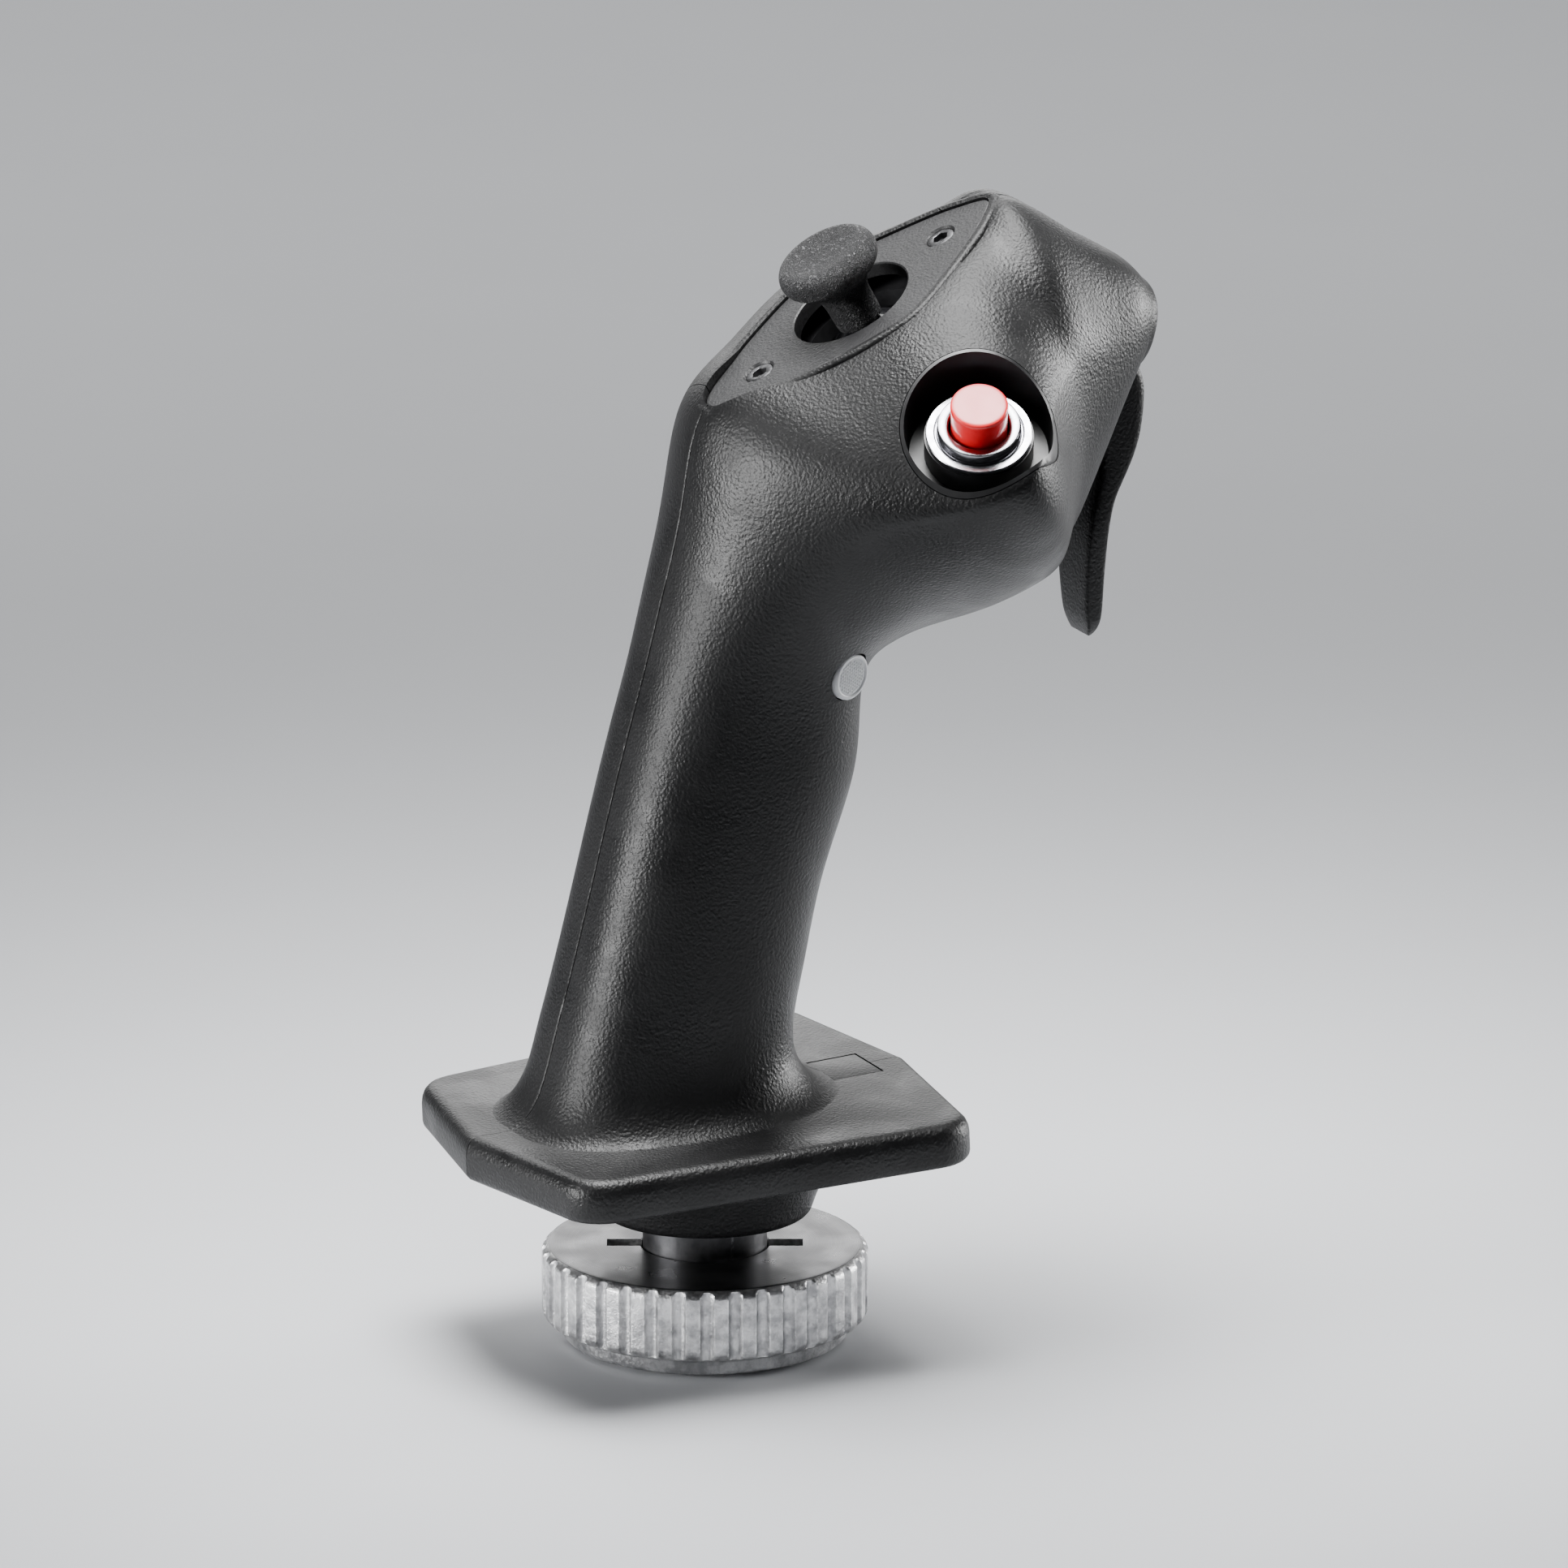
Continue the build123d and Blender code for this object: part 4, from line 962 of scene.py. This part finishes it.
def make_materials():
    """Every material, by the name that pieces ask for."""
    GROUPS["moulded_grain"] = make_grain_group()
    GROUPS["edge_wear"] = make_wear_group()
    GROUPS["handling_marks"] = make_smudge_group()
    plastic_material("grip_black", (0.002, 0.002, 0.0022), (0.008, 0.008, 0.0085), 0.43, 2300.0, 0.8,
                     0.36, 0.0001)
    plastic_material("plate_black", (0.008, 0.008, 0.0085), (0.024, 0.024, 0.025), 0.46, 2500.0, 0.6, 0.5,
                     0.0001)
    plastic_material("inner_black", (0.012, 0.012, 0.013), (0.026, 0.026, 0.028), 0.4, 1800.0, 0.1)
    plastic_material("pale_grey", (0.62, 0.63, 0.65), (0.74, 0.75, 0.76), 0.42, 2500.0, 0.08)
    plastic_material("loom_grey", (0.05, 0.05, 0.055), (0.09, 0.09, 0.095), 0.6, 2500.0, 0.2)
    leather_material("stick_leather")
    nut_side_material("nut_side")
    nut_top_material("nut_top")
    metal_material("chrome", (0.26, 0.26, 0.28), (0.42, 0.42, 0.44), 0.18, 600.0, 0.04)
    metal_material("neck_black", (0.035, 0.035, 0.038), (0.3, 0.3, 0.31), 0.36, 500.0, 0.3)
    metal_material("screw", (0.03, 0.03, 0.032), (0.35, 0.35, 0.36), 0.34)
    metal_material("steel", (0.38, 0.38, 0.4), (0.68, 0.68, 0.7), 0.26)
    metal_material("brass", (0.6, 0.4, 0.12), (0.85, 0.65, 0.3), 0.24)
    gloss_material("gloss_black", (0.006, 0.006, 0.007), (0.02, 0.02, 0.022), 0.16)
    gloss_material("red_gloss", (0.72, 0.003, 0.01), (0.8, 0.008, 0.02), 0.3, 0.3)
    gloss_material("cup_black", (0.003, 0.003, 0.0035), (0.008, 0.008, 0.009), 0.34, 0.0)
    board_material("board_green")


CARRIED_OVER = {
    "stick_bracket": "inner_black", "stick_base": "inner_black", "stick_gimbal": "inner_black",
    "stick_lever": "steel", "red_button_carrier": "cup_black", "red_button_spring": "steel",
    "red_button_switch": "inner_black", "pale_button_socket": "inner_black",
    "pale_button_switch": "inner_black", "trigger_pin": "steel", "trigger_spring": "steel",
    "trigger_switch": "inner_black", "neck_lock_ring": "steel", "locating_pin": "steel",
    "plug_insert": "inner_black", "plug_pins": "brass", "circuit_board": "board_green",
    "wire_loom": "loom_grey", "shell_screws": "screw",
}


def paint(piece, material):
    """Give a piece its one material."""
    piece.data.materials.clear()
    piece.data.materials.append(MATERIALS[material])


def install(piece, node, body, material=None):
    """Puts a finished piece in the place of a CAD node."""
    if material:
        paint(piece, material)
    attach(piece, body)
    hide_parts(node)


# ---- Assembly ----------------------------------------------------------------------------
def assemble():
    """Make each piece and hand it over to the body that it rides on."""
    make_materials()
    right, left, cover = make_shells()
    install(right, "right_grip_shell", "grip", "grip_black")
    install(left, "left_grip_shell", "grip", "grip_black")
    install(cover, "left_head_cover", "grip", "grip_black")
    body_space = half_body("body_space", RIGHT, 0.0, 0.0)
    install(make_cup(body_space), "red_button_cup", "grip", "cup_black")
    bpy.data.objects.remove(body_space)
    install(make_collar(), "red_button_collar", "grip", "chrome")
    install(make_red_cap(), "red_button_cap", "red_push", "red_gloss")
    pale = make_pale_button()
    install(pale, "pale_button", "pale_push", "pale_grey")
    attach(make_pale_dots(), "pale_push")
    install(make_plate(), "top_plate", "grip", "plate_black")
    install(make_plate_screws(), "plate_screws", "grip")
    install(make_stick_cap(), "stick_cap", "stick", "stick_leather")
    install(make_stick_dome(), "stick_dome", "stick", "gloss_black")
    install(make_trigger(), "trigger", "trigger_lever", "grip_black")
    install(make_hatch(), "rest_hatch", "grip", "grip_black")
    install(make_boss(), "foot_boss", "grip", "grip_black")
    install(make_neck(), "neck", "grip", "neck_black")
    install(make_ring_nut(), "ring_nut", "coupling_nut")
    for node, material in CARRIED_OVER.items():
        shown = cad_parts[node]
        shown.data.materials.clear()
        shown.data.materials.append(MATERIALS[material])


# ---- Studio ------------------------------------------------------------------------------
CAMERA_AZIMUTH = radians(64.0)
CAMERA_RISE = radians(16.7)
CAMERA_AIM = Vector((1.2, 11.8, 79.3)) * MM
CAMERA_REACH = 3.0
FRAME_HEIGHT = 0.21955          # metres seen across the frame at the grip


def lamp(name, place, aim, size, power, spread=180.0, tint=(1, 1, 1)):
    """A rectangular soft light."""
    data = bpy.data.lights.new(name, "AREA")
    data.shape = "RECTANGLE"
    data.size, data.size_y = size
    data.energy = power
    data.color = tint
    data.spread = radians(spread)
    light = bpy.data.objects.new(name, data)
    light.location = place
    light.rotation_euler = (Vector(aim) - Vector(place)).to_track_quat("-Z", "Y").to_euler()
    bpy.context.collection.objects.link(light)


def make_studio():
    """Pale floor, soft lamps and a dim surround."""
    floor = new_piece("floor", [(-3000, -3000, -0.6), (3000, -3000, -0.6), (3000, 3000, -0.6),
                                (-3000, 3000, -0.6)], [(0, 1, 2, 3)])
    tree, shader = new_material("floor_pale", Roughness=0.85)
    place = tree.nodes.new("ShaderNodeTexCoord").outputs["Object"]
    tree.links.new(blend_colours(tree, noise(tree, place, 30.0), (0.52, 0.53, 0.55), (0.54, 0.55, 0.57)),
                   shader.inputs["Base Color"])
    paint(floor, "floor_pale")
    aim = (0, 0.01, 0.09)
    lamp("overhead", (-0.03, 0.03, 0.50), (0, 0.02, 0.12), (0.30, 0.30), 1.15, 60)
    lamp("back_strip", (-0.10, -0.70, 0.16), aim, (0.30, 0.60), 1.05, 40)
    lamp("front_strip", (-0.06, 0.74, 0.16), aim, (0.26, 0.60), 0.75, 40)
    lamp("far_side", (-0.80, 0.34, 0.30), aim, (0.9, 0.35), 0.5, 60)
    lamp("backdrop", (-0.75, 0.25, 0.95), (-0.55, 0.25, 0), (0.8, 0.8), 4.2, 100)
    world = bpy.data.worlds.new("studio")
    bpy.context.scene.world = world
    world.use_nodes = True
    world.node_tree.nodes["Background"].inputs["Color"].default_value = (0.83, 0.87, 0.93, 1)
    world.node_tree.nodes["Background"].inputs["Strength"].default_value = 0.04


def make_camera():
    """Camera at the right front of the grip, a little above it."""
    back = Vector((sin(CAMERA_AZIMUTH) * cos(CAMERA_RISE), -cos(CAMERA_AZIMUTH) * cos(CAMERA_RISE),
                   sin(CAMERA_RISE)))
    data = bpy.data.cameras.new("camera")
    data.sensor_width = 36.0
    data.lens = data.sensor_width * CAMERA_REACH / FRAME_HEIGHT
    data.clip_end = 20.0
    camera = bpy.data.objects.new("camera", data)
    camera.location = CAMERA_AIM + back * CAMERA_REACH
    camera.rotation_euler = (-back).to_track_quat("-Z", "Y").to_euler()
    bpy.context.collection.objects.link(camera)
    bpy.context.scene.camera = camera


assemble()
make_studio()
make_camera()
